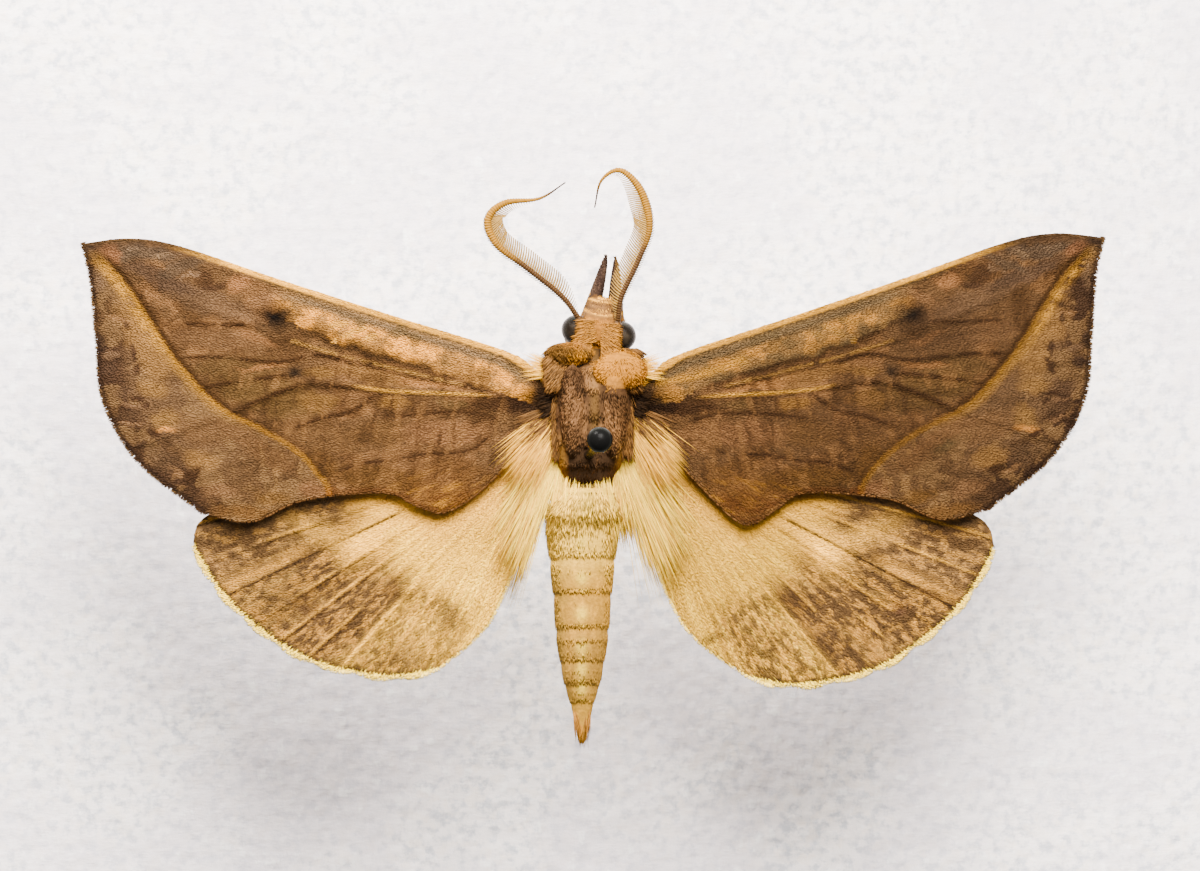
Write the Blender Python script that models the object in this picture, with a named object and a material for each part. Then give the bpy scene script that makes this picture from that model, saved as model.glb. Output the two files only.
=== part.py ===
"""A pinned vampire moth on its foam block, at life size.

The wings are spread as a set specimen's are. The head points along +Y, the left wings lie at -X, +Z is up,
and the origin is the middle of the block's underside. Sizes are in millimetres; node() makes them metres.
"""

import math

import bmesh
import bpy
import numpy as np
from mathutils import Matrix, Vector
from mathutils.geometry import delaunay_2d_cdt

MM = 0.001
GAP = 0.3

# The foam block and the pin that stands in it
BASE_SIZE = (62.0, 47.0, 10.0)
BASE_CORNER_RADIUS = 3.0
BASE_EDGE = 0.5
PIN_RADIUS = 0.25
PIN_HEAD_RADIUS = 0.56
PIN_TOP = 38.0
PIN_ENTRY = (-0.2, -0.85)
PIN_HEAD_OFFSET = (0.48, 0.66)

# Levels and thicknesses shared by the wings and the body
WING_LEVEL = 26.0
WING_THICKNESS = 0.5
WING_STACK = 1.06
WING_RISE = 0.45
HALF_SPAN = 23.0
VEIN_RIDGE = 0.11
VEIN_HALF_WIDTH = 0.32
WING_STEP = 1.25
WING_GRID = 1.9

# The forewing's edge, seen from above on the right side, from the body's middle line
FORE_COSTA = [(2.3, 2.9), (3.9, 3.8), (9.0, 5.4), (14.0, 7.0), (18.5, 8.5), (20.8, 8.85), (23.05, 8.6)]
FORE_OUTER = [(23.05, 8.6), (22.65, 6.9), (22.4, 4.2), (22.05, 1.4), (20.5, -1.25), (17.6, -3.55)]
FORE_INNER = [
    (17.6, -3.55), (15.3, -3.95), (13.0, -3.0), (9.4, -2.65), (8.0, -3.2), (6.7, -3.55),
    (5.2, -2.7), (3.6, -1.15), (2.3, 0.5),
]
LOBE_PLACE = 6.5
LOBE_WIDTH = 1.5
LOBE_DROP = {"left": 0.0, "right": 0.5}
FORE_TURN = {"left": 0.0, "right": 1.1}
FORE_TURN_CENTRE = (9.0, 5.4)

# The hindwing's edge in the same view
HIND_COSTA = [(2.3, 0.3), (6.0, -0.2), (11.0, -1.3), (15.3, -2.6), (17.3, -3.8), (17.8, -5.0)]
HIND_OUTER = [(17.8, -5.0), (16.85, -6.95), (15.1, -8.75), (12.75, -10.2), (9.3, -10.95), (6.9, -10.6)]
HIND_INNER = [(6.9, -10.6), (5.1, -9.05), (4.15, -7.5), (3.2, -4.9), (2.1, -1.5)]
HIND_REACH = {"left": 1.0, "right": 1.035}
HIND_FULLNESS = {"left": 0.1, "right": 0.75}
HIND_SCALLOPS = 7
HIND_SCALLOP_DEPTH = 0.16

# Veins: the forewing's as short routes, the hindwing's as a fan of angles from the wing's root
FORE_VEINS = {
    "subcosta": [(2.9, 3.0), (8.6, 4.6), (12.4, 6.0)],
    "radius": [(2.9, 2.5), (10.7, 3.5), (13.6, 4.4), (18.9, 6.3), (22.1, 8.3)],
    "radius_branch": [(10.7, 3.5), (14.4, 5.6), (17.0, 7.4)],
    "media_1": [(13.6, 4.4), (18.5, 4.3), (21.9, 4.6)],
    "media_2": [(13.3, 2.8), (17.4, 2.3), (21.6, 1.8)],
    "cubitus": [(2.9, 1.9), (9.6, 2.0), (12.7, 2.3), (16.0, 1.1), (20.7, -0.5)],
    "cubitus_branch": [(9.6, 2.0), (14.0, 0.2), (18.6, -2.5)],
    "anal": [(2.9, 1.3), (6.7, -0.5), (11.3, -1.4), (16.4, -3.4)],
}
HIND_ROOT = (2.3, -0.4)
HIND_VEIN_ANGLES = [-14.0, -23.0, -31.0, -39.0, -47.0, -55.0, -64.0]
HIND_VEIN_START = 3.0
HIND_VEIN_STEP = 1.8
FORE_VEIN_STEP = 1.6
HIND_FOLD = 0.14

# The trunk leans to the left towards its rear: how far its middle line is off X = 0 at places along Y
BODY_LEAN = [(4.0, 0.12), (1.0, 0.0), (-2.4, -0.25), (-4.2, -0.5), (-14.0, -0.52)]

# The trunk: half widths, and heights above and below its middle level, at places along Y
THORAX_LEVEL = WING_LEVEL - 0.2
THORAX_STATIONS = [
    (3.5, 1.15, 1.05, 1.1), (3.0, 1.65, 1.5, 1.7), (2.2, 1.95, 1.8, 2.3), (1.0, 2.0, 1.95, 2.6),
    (-0.2, 1.85, 1.9, 2.55), (-1.2, 1.6, 1.6, 2.2), (-1.9, 1.25, 1.2, 1.7), (-2.35, 0.95, 0.8, 1.2),
]
ABDOMEN_LEVEL = WING_LEVEL - 0.55
ABDOMEN_SAG = 0.5
ABDOMEN_START = -2.65
ABDOMEN_RINGS = [-4.0, -5.3, -6.9, -8.5, -10.0, -11.0, -11.85]
ABDOMEN_TIP = -13.85
ABDOMEN_WIDTHS = [
    (-2.65, 1.5), (-3.4, 1.8), (-4.7, 1.68), (-7.4, 1.4), (-9.2, 1.28), (-10.9, 1.0), (-11.85, 0.73),
    (-12.7, 0.51), (-13.85, 0.27),
]
ABDOMEN_RING_STEP = 0.05

# The head, in a frame of its own that is turned a little to the right
NECK = (0.13, 3.85, WING_LEVEL + 0.05)
HEAD_YAW = -8.0
HEAD_STATIONS = [
    (0.0, 0.95, 0.85, 0.9), (0.4, 1.06, 1.1, 1.2), (1.0, 1.05, 1.18, 1.25), (1.5, 0.88, 1.05, 1.1),
    (1.9, 0.7, 0.82, 0.8), (2.25, 0.45, 0.5, 0.5), (2.42, 0.22, 0.25, 0.25),
]
EYE_CENTRE = (1.02, 0.75, 0.0)
EYE_RADII = (0.68, 0.68, 0.8)
MOUTH_CENTRE = (0.08, 1.05, -1.35)
COIL_RADIUS = 0.42
COIL_TUBE = 0.26
PALP_SPREAD = (0.62, 0.46, 0.22)
PALP_REACH = (1.2, 2.25, 4.15)
PALP_LIFT = (-0.85, -0.35, 0.3)
PALP_MIDDLE = 0.08
PALP_STEP = 0.42
PALP_ROOT = 0.33
PALP_TIP = 0.07
PALP_DEPTH = 1.35
BODY_SIDES = 24
ABDOMEN_SIDES = 22
PALP_SIDES = 12

# Antennae: the shaft's route over the head's frame of the whole moth, then its thickness and its comb
ANTENNA_LEVEL = WING_LEVEL + 0.85
ANTENNA_ROUTES = {
    "left": [
        (-0.45, 4.9, -0.3), (-0.75, 5.35, 0.0), (-1.45, 6.25, 0.3), (-2.95, 7.45, 0.5), (-4.3, 8.5, 0.5),
        (-4.7, 9.6, 0.45), (-3.95, 10.35, 0.4), (-2.4, 10.55, 0.4), (-1.25, 11.25, 0.6),
    ],
    "right": [
        (0.95, 4.7, -0.3), (1.1, 5.2, 0.0), (1.25, 6.2, 0.3), (2.0, 7.8, 0.55), (2.5, 9.3, 0.6),
        (2.1, 10.9, 0.55), (1.2, 11.8, 0.5), (0.35, 11.35, 0.4), (0.05, 10.15, 0.3),
    ],
}
ANTENNA_SPLIT = {"left": 0.5, "right": 0.52}
ANTENNA_STEP = 0.5
ANTENNA_PLACES = (0.0, 0.07, 0.13, 0.6, 1.0)
ANTENNA_RADII = (0.34, 0.34, 0.26, 0.25, 0.1)
COMB_PLACES = (0.1, 0.25, 0.55, 0.86)
COMB_LENGTHS = (0.35, 0.75, 0.8, 0.35)
COMB_TOOTH = (0.2, 0.08)
COMB_LEAN = 0.45
COMB_SIDE = {"left": -1, "right": 1}

# Legs, folded below the thorax: the route from inside it to the foot, on the right side
LEG_ROUTES = {
    "front": [
        (0.7, 2.7, -1.4), (0.9, 3.3, -2.9), (1.25, 4.7, -3.3),
        (1.0, 3.9, -4.0), (0.75, 2.2, -4.4), (0.7, 0.4, -4.5),
    ],
    "middle": [
        (1.2, 1.3, -1.5), (1.7, 1.7, -2.9), (2.6, 2.5, -3.2),
        (2.6, 1.2, -3.5), (2.0, -0.9, -4.3), (1.1, -3.0, -4.6),
    ],
    "hind": [
        (1.3, -0.3, -1.3), (1.5, -1.1, -2.6), (1.4, -2.8, -3.1),
        (1.05, -4.6, -3.4), (0.75, -7.0, -3.5), (0.45, -9.3, -3.4),
    ],
}
LEG_STEP = 0.55
LEG_RADII = [0.42, 0.42, 0.34, 0.3, 0.27, 0.16]
SPUR = (0.75, 0.17)
SPUR_LEAN = (0.35, -0.45)
SPUR_PLACES = {"front": [], "middle": [0.74], "hind": [0.55, 0.78]}

COLLAR_FLAPS = {
    "left": ((-1.1, 3.7, 1.0), (1.15, 0.52, 0.3), 12.0),
    "right": ((1.2, 2.95, 1.25), (1.2, 0.86, 0.3), 12.0),
}
TEGULA = ((0.93, 1.15, 1.2), (0.74, 2.15, 0.6))
TEGULA_TILT = 28.0

COLOURS = {
    "forewing": ((0.30, 0.19, 0.11), 0.8),
    "hindwing": ((0.60, 0.48, 0.30), 0.8),
    "trunk": ((0.33, 0.20, 0.11), 0.85),
    "abdomen": ((0.72, 0.60, 0.38), 0.85),
    "head": ((0.55, 0.33, 0.14), 0.85),
    "antenna": ((0.50, 0.30, 0.12), 0.6),
    "leg": ((0.50, 0.37, 0.22), 0.8),
    "eye": ((0.05, 0.045, 0.04), 0.2),
    "pin": ((0.02, 0.02, 0.025), 0.3),
    "foam": ((0.80, 0.82, 0.86), 0.95),
}


def clear_scene():
    for obj in list(bpy.data.objects):
        bpy.data.objects.remove(obj)


def finish(name):
    """The named Principled material, made once."""
    material = bpy.data.materials.get(name)
    if material is None:
        colour, roughness = COLOURS[name]
        material = bpy.data.materials.new(name)
        material.use_nodes = True
        shader = material.node_tree.nodes["Principled BSDF"]
        shader.inputs["Base Color"].default_value = (*colour, 1.0)
        shader.inputs["Roughness"].default_value = roughness
        shader.inputs["Metallic"].default_value = 0.0
    return material


def shape(points, faces):
    """A scratch object in millimetres."""
    mesh = bpy.data.meshes.new("shape")
    mesh.from_pydata([tuple(p) for p in points], [], [tuple(f) for f in faces])
    obj = bpy.data.objects.new("shape", mesh)
    bpy.context.scene.collection.objects.link(obj)
    return obj


def with_modifiers_applied(obj):
    bpy.context.view_layer.update()
    graph = bpy.context.evaluated_depsgraph_get()
    mesh = bpy.data.meshes.new_from_object(obj.evaluated_get(graph))
    obj.modifiers.clear()
    obj.data = mesh
    return obj


def largest_surface(obj):
    """Keeps the closed surface with the most volume, and drops scraps and sealed hollows."""
    bm = bmesh.new()
    bm.from_mesh(obj.data)
    left = set(bm.faces)
    surfaces = []
    while left:
        found = {left.pop()}
        edge_of_search = list(found)
        while edge_of_search:
            face = edge_of_search.pop()
            for edge in face.edges:
                for other in edge.link_faces:
                    if other in left:
                        left.remove(other)
                        found.add(other)
                        edge_of_search.append(other)
        surfaces.append(found)

    def volume(faces):
        total = 0.0
        for face in faces:
            corners = [v.co for v in face.verts]
            for i in range(1, len(corners) - 1):
                total += corners[0].dot(corners[i].cross(corners[i + 1]))
        return total

    kept = max(surfaces, key=volume)
    bmesh.ops.delete(bm, geom=[f for f in bm.faces if f not in kept], context="FACES")
    bmesh.ops.triangulate(bm, faces=bm.faces)
    bm.to_mesh(obj.data)
    bm.free()
    return obj


def fused(pieces):
    """One closed body from several: a Boolean union over a collection, whose objects are then removed."""
    first, others = pieces[0], pieces[1:]
    group = bpy.data.collections.new("pieces")
    for piece in others:
        bpy.context.scene.collection.objects.unlink(piece)
        group.objects.link(piece)
    bpy.context.scene.collection.children.link(group)
    union = first.modifiers.new("union", "BOOLEAN")
    union.operation = "UNION"
    union.operand_type = "COLLECTION"
    union.collection = group
    union.solver = "EXACT"
    with_modifiers_applied(first)
    for piece in others:
        bpy.data.objects.remove(piece)
    bpy.data.collections.remove(group)
    return largest_surface(first)


def cut_clear(obj, cutters):
    """Cuts the shapes in cutters out of obj and keeps its largest surface."""
    for cutter in cutters:
        cut = obj.modifiers.new("cut", "BOOLEAN")
        cut.operation = "DIFFERENCE"
        cut.object = cutter
        cut.solver = "EXACT"
        with_modifiers_applied(obj)
    return largest_surface(obj)


def node(name, obj, colour, origin, sharp_angle=35.0):
    """Turns a scratch shape into a named node in metres, its origin at a place given in millimetres."""
    obj.name = obj.data.name = name
    obj.data.transform(Matrix.Scale(MM, 4) @ Matrix.Translation(-Vector(origin)))
    obj.location = Vector(origin) * MM
    obj.data.materials.clear()
    obj.data.materials.append(finish(colour))
    obj.data.shade_smooth()
    obj.data.set_sharp_from_angle(angle=math.radians(sharp_angle))
    return obj


def smooth_line(anchors, step):
    """Points about a step apart on a smooth curve through the anchors."""
    anchors = np.array(anchors, float)
    before = 2 * anchors[0] - anchors[1]
    after = 2 * anchors[-1] - anchors[-2]
    run = np.vstack([before, anchors, after])
    points = []
    for i in range(1, len(run) - 2):
        a, b, c, d = run[i - 1 : i + 3]
        count = max(1, round(np.linalg.norm(c - b) / step))
        for t in np.arange(count) / count:
            bend = (2 * a - 5 * b + 4 * c - d) * t**2 + (3 * b - a - 3 * c + d) * t**3
            points.append(0.5 * (2 * b + (c - a) * t + bend))
    points.append(run[-2])
    return np.array(points)


def between(rows, place):
    """The sizes at a place, read between the rows of a table whose first column holds the places."""
    table = np.array(sorted(rows), float)
    return [np.interp(place, table[:, 0], table[:, i]) for i in range(1, table.shape[1])]


def ring(middle, half_width, up, down, sides):
    """An egg-shaped ring across Y."""
    x, y, z = middle
    points = []
    for i in range(sides):
        turn = 2 * math.pi * i / sides
        rise = up if math.sin(turn) > 0 else down
        points.append((x + half_width * math.cos(turn), y, z + rise * math.sin(turn)))
    return points


def loft(rings):
    """A closed skin over rings of equal size, with a fan at each end."""
    sides = len(rings[0])
    points = [p for one in rings for p in one]
    faces = []
    for r in range(len(rings) - 1):
        for i in range(sides):
            a, b = r * sides + i, r * sides + (i + 1) % sides
            faces += [(a, b, b + sides), (a, b + sides, a + sides)]
    first = len(points)
    points.append(tuple(np.mean(rings[0], axis=0)))
    points.append(tuple(np.mean(rings[-1], axis=0)))
    last = (len(rings) - 1) * sides
    for i in range(sides):
        j = (i + 1) % sides
        faces.append((first, j, i))
        faces.append((first + 1, last + i, last + j))
    return facing_out(shape(points, faces))


def facing_out(obj):
    bm = bmesh.new()
    bm.from_mesh(obj.data)
    bmesh.ops.recalc_face_normals(bm, faces=bm.faces)
    bm.to_mesh(obj.data)
    bm.free()
    return obj


def circle(middle, side, other, radius, sides):
    """A ring round a middle, in the plane of two directions."""
    points = []
    for k in range(sides):
        turn = 2 * math.pi * k / sides
        points.append(tuple(middle + (side * math.cos(turn) + other * math.sin(turn)) * radius))
    return points


def swept(route, radii, sides):
    """A tapered round tube along a route, with its rings turned as little as possible."""
    route = [Vector(p) for p in route]
    side = None
    rings = []
    for i, place in enumerate(route):
        ahead = (route[min(i + 1, len(route) - 1)] - route[max(i - 1, 0)]).normalized()
        if side is None:
            side = ahead.orthogonal().normalized()
        side = (side - ahead * side.dot(ahead)).normalized()
        other = ahead.cross(side)
        rings.append(circle(place, side, other, radii[i], sides))
    return loft(rings)


def ball(centre, radii, segments, rings, turn=None):
    """An ellipsoid, turned about its centre."""
    bm = bmesh.new()
    bmesh.ops.create_uvsphere(bm, u_segments=segments, v_segments=rings, radius=1.0)
    spin = turn or Matrix.Identity(4)
    place = Matrix.Translation(Vector(centre)) @ spin @ Matrix.Diagonal((*radii, 1.0))
    bmesh.ops.transform(bm, matrix=place, verts=bm.verts)
    obj = shape([], [])
    bm.to_mesh(obj.data)
    bm.free()
    return obj


def mirrored_x(side):
    return -1.0 if side == "left" else 1.0


def body_lean(y):
    return between(BODY_LEAN, y)[0]


def thorax_solid(grow=0.0):
    rings = []
    for y, half_width, up, down in THORAX_STATIONS:
        end = {THORAX_STATIONS[0][0]: grow, THORAX_STATIONS[-1][0]: -grow}.get(y, 0.0)
        middle = (body_lean(y), y + end, THORAX_LEVEL)
        rings.append(ring(middle, half_width + grow, up + grow, down + grow, BODY_SIDES))
    return loft(rings)


def head_place():
    """From the head's frame to the moth's."""
    return Matrix.Translation(Vector(NECK)) @ Matrix.Rotation(math.radians(HEAD_YAW), 4, "Z")


def head_solid(grow=0.0):
    rings = []
    for y, half_width, up, down in HEAD_STATIONS:
        end = {HEAD_STATIONS[0][0]: -grow, HEAD_STATIONS[-1][0]: grow}.get(y, 0.0)
        rings.append(ring((0, y + end, 0), half_width + grow, up + grow, down + grow, BODY_SIDES))
    obj = loft(rings)
    obj.data.transform(head_place())
    return obj


def eye_solid(side, grow=0.0):
    x, y, z = EYE_CENTRE
    radii = [r + grow for r in EYE_RADII]
    obj = ball((mirrored_x(side) * x, y, z), radii, 20, 12)
    obj.data.transform(head_place())
    return obj


def pin_axis():
    """The pin's head centre and its direction, which leans a little from the place where it enters."""
    top = THORAX_LEVEL + between(THORAX_STATIONS, PIN_ENTRY[1])[1]
    entry = Vector((*PIN_ENTRY, top))
    across, ahead = PIN_HEAD_OFFSET
    head = Vector((entry.x + across, entry.y + ahead, PIN_TOP - PIN_HEAD_RADIUS))
    return head, (head - entry).normalized()


def along_pin(height):
    head, lean = pin_axis()
    return head + lean * ((height - head.z) / lean.z)


def make_base():
    wide, deep, high = BASE_SIZE
    bm = bmesh.new()
    bmesh.ops.create_cube(bm, size=1.0)
    bmesh.ops.scale(bm, vec=(wide, deep, high), verts=bm.verts)
    bmesh.ops.translate(bm, vec=(0, 0, high / 2), verts=bm.verts)
    upright = [e for e in bm.edges if abs((e.verts[0].co - e.verts[1].co).z) > high / 2]
    bmesh.ops.bevel(bm, geom=upright, offset=BASE_CORNER_RADIUS, segments=6, profile=0.5, affect="EDGES")
    flat = [e for e in bm.edges if len({round(f.normal.z) for f in e.link_faces}) == 2]
    bmesh.ops.bevel(bm, geom=flat, offset=BASE_EDGE, segments=2, profile=0.5, affect="EDGES")
    bmesh.ops.triangulate(bm, faces=bm.faces)
    obj = shape([], [])
    bm.to_mesh(obj.data)
    bm.free()
    node("stand_base", obj, "foam", (0, 0, 0))


def make_pin():
    """The pin: a straight shaft that ends just over the foam, and a round head."""
    head, lean = pin_axis()
    foot = along_pin(BASE_SIZE[2] + GAP)
    length = (head - foot).length
    profile = [(0.0, PIN_RADIUS), (length - PIN_HEAD_RADIUS * 0.9, PIN_RADIUS)]
    for i in range(1, 8):
        turn = math.pi * (0.15 + 0.85 * i / 8)
        profile.append((length - PIN_HEAD_RADIUS * math.cos(turn), PIN_HEAD_RADIUS * math.sin(turn)))
    side = lean.orthogonal().normalized()
    other = lean.cross(side)
    rings = []
    for along, radius in profile:
        rings.append(circle(foot + lean * along, side, other, radius, 16))
    node("stand_pin", loft(rings), "pin", foot)


def make_thorax():
    pieces = [thorax_solid()]
    centre, radii = TEGULA
    for side in ("left", "right"):
        x = mirrored_x(side) * centre[0]
        tilt = Matrix.Rotation(mirrored_x(side) * math.radians(TEGULA_TILT), 4, "Y")
        pieces.append(ball((x, centre[1], WING_LEVEL + centre[2]), radii, 16, 10, tilt))
    for side, (middle, size, tilt) in COLLAR_FLAPS.items():
        turn = Matrix.Rotation(mirrored_x(side) * math.radians(tilt), 4, "Y")
        pieces.append(ball((middle[0], middle[1], WING_LEVEL + middle[2]), size, 18, 10, turn))
    body = fused(pieces)
    top, bottom = along_pin(PIN_TOP - 4), along_pin(BASE_SIZE[2] + 4)
    bore = swept([bottom, top], [PIN_RADIUS + GAP] * 2, 16)
    head = head_solid(GAP)
    eyes = [eye_solid(side, GAP) for side in ("left", "right")]
    cut_clear(body, [bore, head, *eyes])
    for helper in (bore, head, *eyes):
        bpy.data.objects.remove(helper)
    node("thorax", body, "trunk", (0, 0, THORAX_LEVEL))


def abdomen_middle(y):
    along = (ABDOMEN_START - y) / (ABDOMEN_START - ABDOMEN_TIP)
    return body_lean(y), ABDOMEN_LEVEL - ABDOMEN_SAG * along**2


def make_abdomen():
    """Telescoped rings: each swells towards its rear edge and steps in under the next."""
    edges = [ABDOMEN_START, *ABDOMEN_RINGS, ABDOMEN_TIP]
    rings = []
    for front, rear in zip(edges, edges[1:]):
        last = rear == ABDOMEN_TIP
        for share, swell in ((0.04, -1.0), (0.5, 0.4), (0.96, 0.2 if last else 1.0)):
            y = front + (rear - front) * share
            (half_width,) = between(ABDOMEN_WIDTHS, y)
            x, z = abdomen_middle(y)
            half_width += ABDOMEN_RING_STEP * swell
            rings.append(ring((x, y, z), half_width, half_width * 1.05, half_width, ABDOMEN_SIDES))
    rings[0] = [(x, ABDOMEN_START, z) for x, y, z in rings[0]]
    rings[-1] = [(x, ABDOMEN_TIP, z) for x, y, z in rings[-1]]
    x, z = abdomen_middle(ABDOMEN_START)
    node("abdomen", loft(rings), "abdomen", (x, ABDOMEN_START, z), 25.0)


def make_head():
    body = head_solid()
    eyes = [eye_solid(side, GAP) for side in ("left", "right")]
    hollow = ball(MOUTH_CENTRE, (COIL_TUBE + GAP, *[COIL_RADIUS + COIL_TUBE + GAP] * 2), 16, 12)
    hollow.data.transform(head_place())
    cut_clear(body, [*eyes, hollow])
    for helper in (*eyes, hollow):
        bpy.data.objects.remove(helper)
    node("head", body, "head", NECK)
    for side in ("left", "right"):
        centre = head_place() @ Vector((mirrored_x(side) * EYE_CENTRE[0], *EYE_CENTRE[1:]))
        node(f"eye_{side}", eye_solid(side), "eye", centre, 60.0)


def make_proboscis():
    """The rolled feeding tube, in its hollow below the face."""
    middle = Vector(MOUTH_CENTRE)
    count = 15
    route, radii = [], []
    for i in range(count):
        turn = math.radians(100 - 300 * i / (count - 1))
        route.append(middle + Vector((0, math.cos(turn), math.sin(turn))) * COIL_RADIUS)
        radii.append(COIL_TUBE * (1 - 0.35 * i / (count - 1)))
    obj = swept(route, radii, 10)
    obj.data.transform(head_place())
    node("proboscis", obj, "antenna", head_place() @ middle)


def make_palps():
    blocker = head_solid(GAP)
    for side in ("left", "right"):
        sign = mirrored_x(side)
        anchors = [
            (PALP_MIDDLE + sign * spread, reach, lift)
            for spread, reach, lift in zip(PALP_SPREAD, PALP_REACH, PALP_LIFT)
        ]
        route = smooth_line(anchors, PALP_STEP)
        rings = []
        for i, place in enumerate(route):
            share = i / (len(route) - 1)
            half_width = PALP_ROOT * (1 - share) ** 0.7 + PALP_TIP
            half_depth = half_width * PALP_DEPTH
            rings.append(ring(place, half_width, half_depth, half_depth, PALP_SIDES))
        obj = loft(rings)
        obj.data.transform(head_place())
        cut_clear(obj, [blocker])
        node(f"palp_{side}", obj, "head", head_place() @ Vector(anchors[1]))
    bpy.data.objects.remove(blocker)


def comb_tooth(place, ahead, outward, length):
    """One tapered tooth of the comb, its root sunk in the shaft, measured from the shaft's middle."""
    root, tip = COMB_TOOTH
    lean = (outward + ahead * COMB_LEAN).normalized()
    reach = length + ANTENNA_RADII[-2] * 0.5
    route = [place - lean * 0.1, place + lean * reach * 0.5, place + lean * reach]
    return swept(route, [root, root * 0.8, tip], 6)


def make_antennae():
    """Each antenna in two lengths, since it hooks round a gap, its comb fused to the shaft."""
    blockers = [head_solid(GAP)] + [eye_solid(side, GAP) for side in ("left", "right")]
    for side, anchors in ANTENNA_ROUTES.items():
        lifted = [(x, y, ANTENNA_LEVEL + z) for x, y, z in anchors]
        route = [Vector(place) for place in smooth_line(lifted, ANTENNA_STEP)]
        share = np.linspace(0, 1, len(route))
        radii = np.interp(share, ANTENNA_PLACES, ANTENNA_RADII)
        lengths = np.interp(share, COMB_PLACES, COMB_LENGTHS, left=0.0, right=0.0)
        split = round(len(route) * ANTENNA_SPLIT[side])
        ahead = (route[split] - route[split - 1]).normalized()
        lower = range(0, split + 1)
        upper = range(split + 1, len(route))
        for name, span in ((f"antenna_{side}", lower), (f"antenna_{side}_tip", upper)):
            places = [route[i] for i in span]
            if span is upper:
                places[0] = route[split] + ahead * GAP
            pieces = [swept(places, radii[span.start : span.stop], 8)]
            for i in span[1:-1]:
                if lengths[i] > 0:
                    run = (route[i + 1] - route[i - 1]).normalized()
                    outward = Vector((-run.y, run.x, 0)).normalized() * COMB_SIDE[side]
                    pieces.append(comb_tooth(route[i], run, outward, lengths[i]))
            obj = fused(pieces)
            if span is lower:
                cut_clear(obj, blockers)
            node(name, obj, "antenna", places[0])
    for helper in blockers:
        bpy.data.objects.remove(helper)


def make_legs():
    blocker = thorax_solid(GAP)
    for pair, anchors in LEG_ROUTES.items():
        for side in ("left", "right"):
            sign = mirrored_x(side)
            placed = [(sign * x + body_lean(y), y, WING_LEVEL + z) for x, y, z in anchors]
            route = smooth_line(placed, LEG_STEP)
            share = np.linspace(0, len(LEG_RADII) - 1, len(route))
            radii = np.interp(share, range(len(LEG_RADII)), LEG_RADII)
            pieces = [swept(route, radii, 9)]
            for place in SPUR_PLACES[pair]:
                i = round(place * (len(route) - 1))
                run = Vector(route[i + 1] - route[i - 1]).normalized()
                outward = (run + Vector((sign * SPUR_LEAN[0], 0, SPUR_LEAN[1]))).normalized()
                length, root = SPUR
                start = Vector(route[i])
                tip = start + outward * length
                pieces.append(swept([start, (start + tip) / 2, tip], [root, root * 0.8, root * 0.3], 6))
            obj = fused(pieces) if len(pieces) > 1 else pieces[0]
            cut_clear(obj, [blocker])
            node(f"leg_{pair}_{side}", obj, "leg", route[0])
    bpy.data.objects.remove(blocker)


def turned(points, degrees, about):
    turn = math.radians(degrees)
    offset = np.array(points, float) - about
    spin = np.array([[math.cos(turn), math.sin(turn)], [-math.sin(turn), math.cos(turn)]])
    return offset @ spin + about


def root_edge(side, high, low):
    """The wing's edge along the thorax, a gap away from it, seen on the right side."""
    count = max(2, round((high - low) / 0.7))
    places = np.linspace(low, high, count + 1)
    lean = mirrored_x(side)
    return np.array([(between(THORAX_STATIONS, y)[0] + lean * body_lean(y) + GAP, y) for y in places])


def forewing_edge(side):
    """The closed edge on the right side, from the costa's root round to the thorax."""
    costa = smooth_line(FORE_COSTA, WING_STEP)
    outer = smooth_line(FORE_OUTER, WING_STEP)
    inner = smooth_line(FORE_INNER, WING_STEP * 0.7)
    drop = LOBE_DROP[side] * np.exp(-(((inner[:, 0] - LOBE_PLACE) / LOBE_WIDTH) ** 2))
    inner[:, 1] -= drop
    edge = np.vstack([costa[1:-1], outer[:-1], inner[:-1]])
    edge = turned(edge, FORE_TURN[side], FORE_TURN_CENTRE)
    return np.vstack([edge, root_edge(side, FORE_COSTA[0][1], FORE_INNER[-1][1])])


def hindwing_edge(side):
    costa = smooth_line(HIND_COSTA, WING_STEP)
    outer = smooth_line(HIND_OUTER, WING_STEP * 0.5)
    inner = smooth_line(HIND_INNER, WING_STEP)
    inner[:, 0] -= HIND_FULLNESS[side] * np.sin(math.pi * np.linspace(0, 1, len(inner)))
    share = np.linspace(0, 1, len(outer))
    run = np.gradient(outer, axis=0)
    out = np.stack([-run[:, 1], run[:, 0]], axis=1) / np.linalg.norm(run, axis=1)[:, None]
    out *= np.sign(np.sum(out * (outer - np.array(HIND_ROOT)), axis=1))[:, None]
    wave = np.abs(np.sin(math.pi * HIND_SCALLOPS * share))
    outer = outer + out * (wave * HIND_SCALLOP_DEPTH)[:, None]
    edge = np.vstack([costa[1:-1], outer[:-1], inner[:-1]])
    edge[:, 1] *= np.where(edge[:, 1] < HIND_ROOT[1], HIND_REACH[side], 1.0)
    return np.vstack([edge, root_edge(side, HIND_COSTA[0][1], HIND_INNER[-1][1])])


def inside(points, edge):
    """Which points lie within a closed edge."""
    x, y = points[:, 0, None], points[:, 1, None]
    ax, ay = edge[:, 0], edge[:, 1]
    bx, by = np.roll(ax, -1), np.roll(ay, -1)
    crosses = (ay > y) != (by > y)
    with np.errstate(divide="ignore", invalid="ignore"):
        at = (bx - ax) * (y - ay) / (by - ay) + ax
    return (crosses & (x < at)).sum(axis=1) % 2 == 1


def distance_to(points, line):
    """The distance from each point to a broken line."""
    points = np.asarray(points, float)
    best = np.full(len(points), np.inf)
    for a, b in zip(line[:-1], line[1:]):
        run = b - a
        share = np.clip((points - a) @ run / (run @ run), 0, 1)
        best = np.minimum(best, np.linalg.norm(points - (a + share[:, None] * run), axis=1))
    return best


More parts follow.
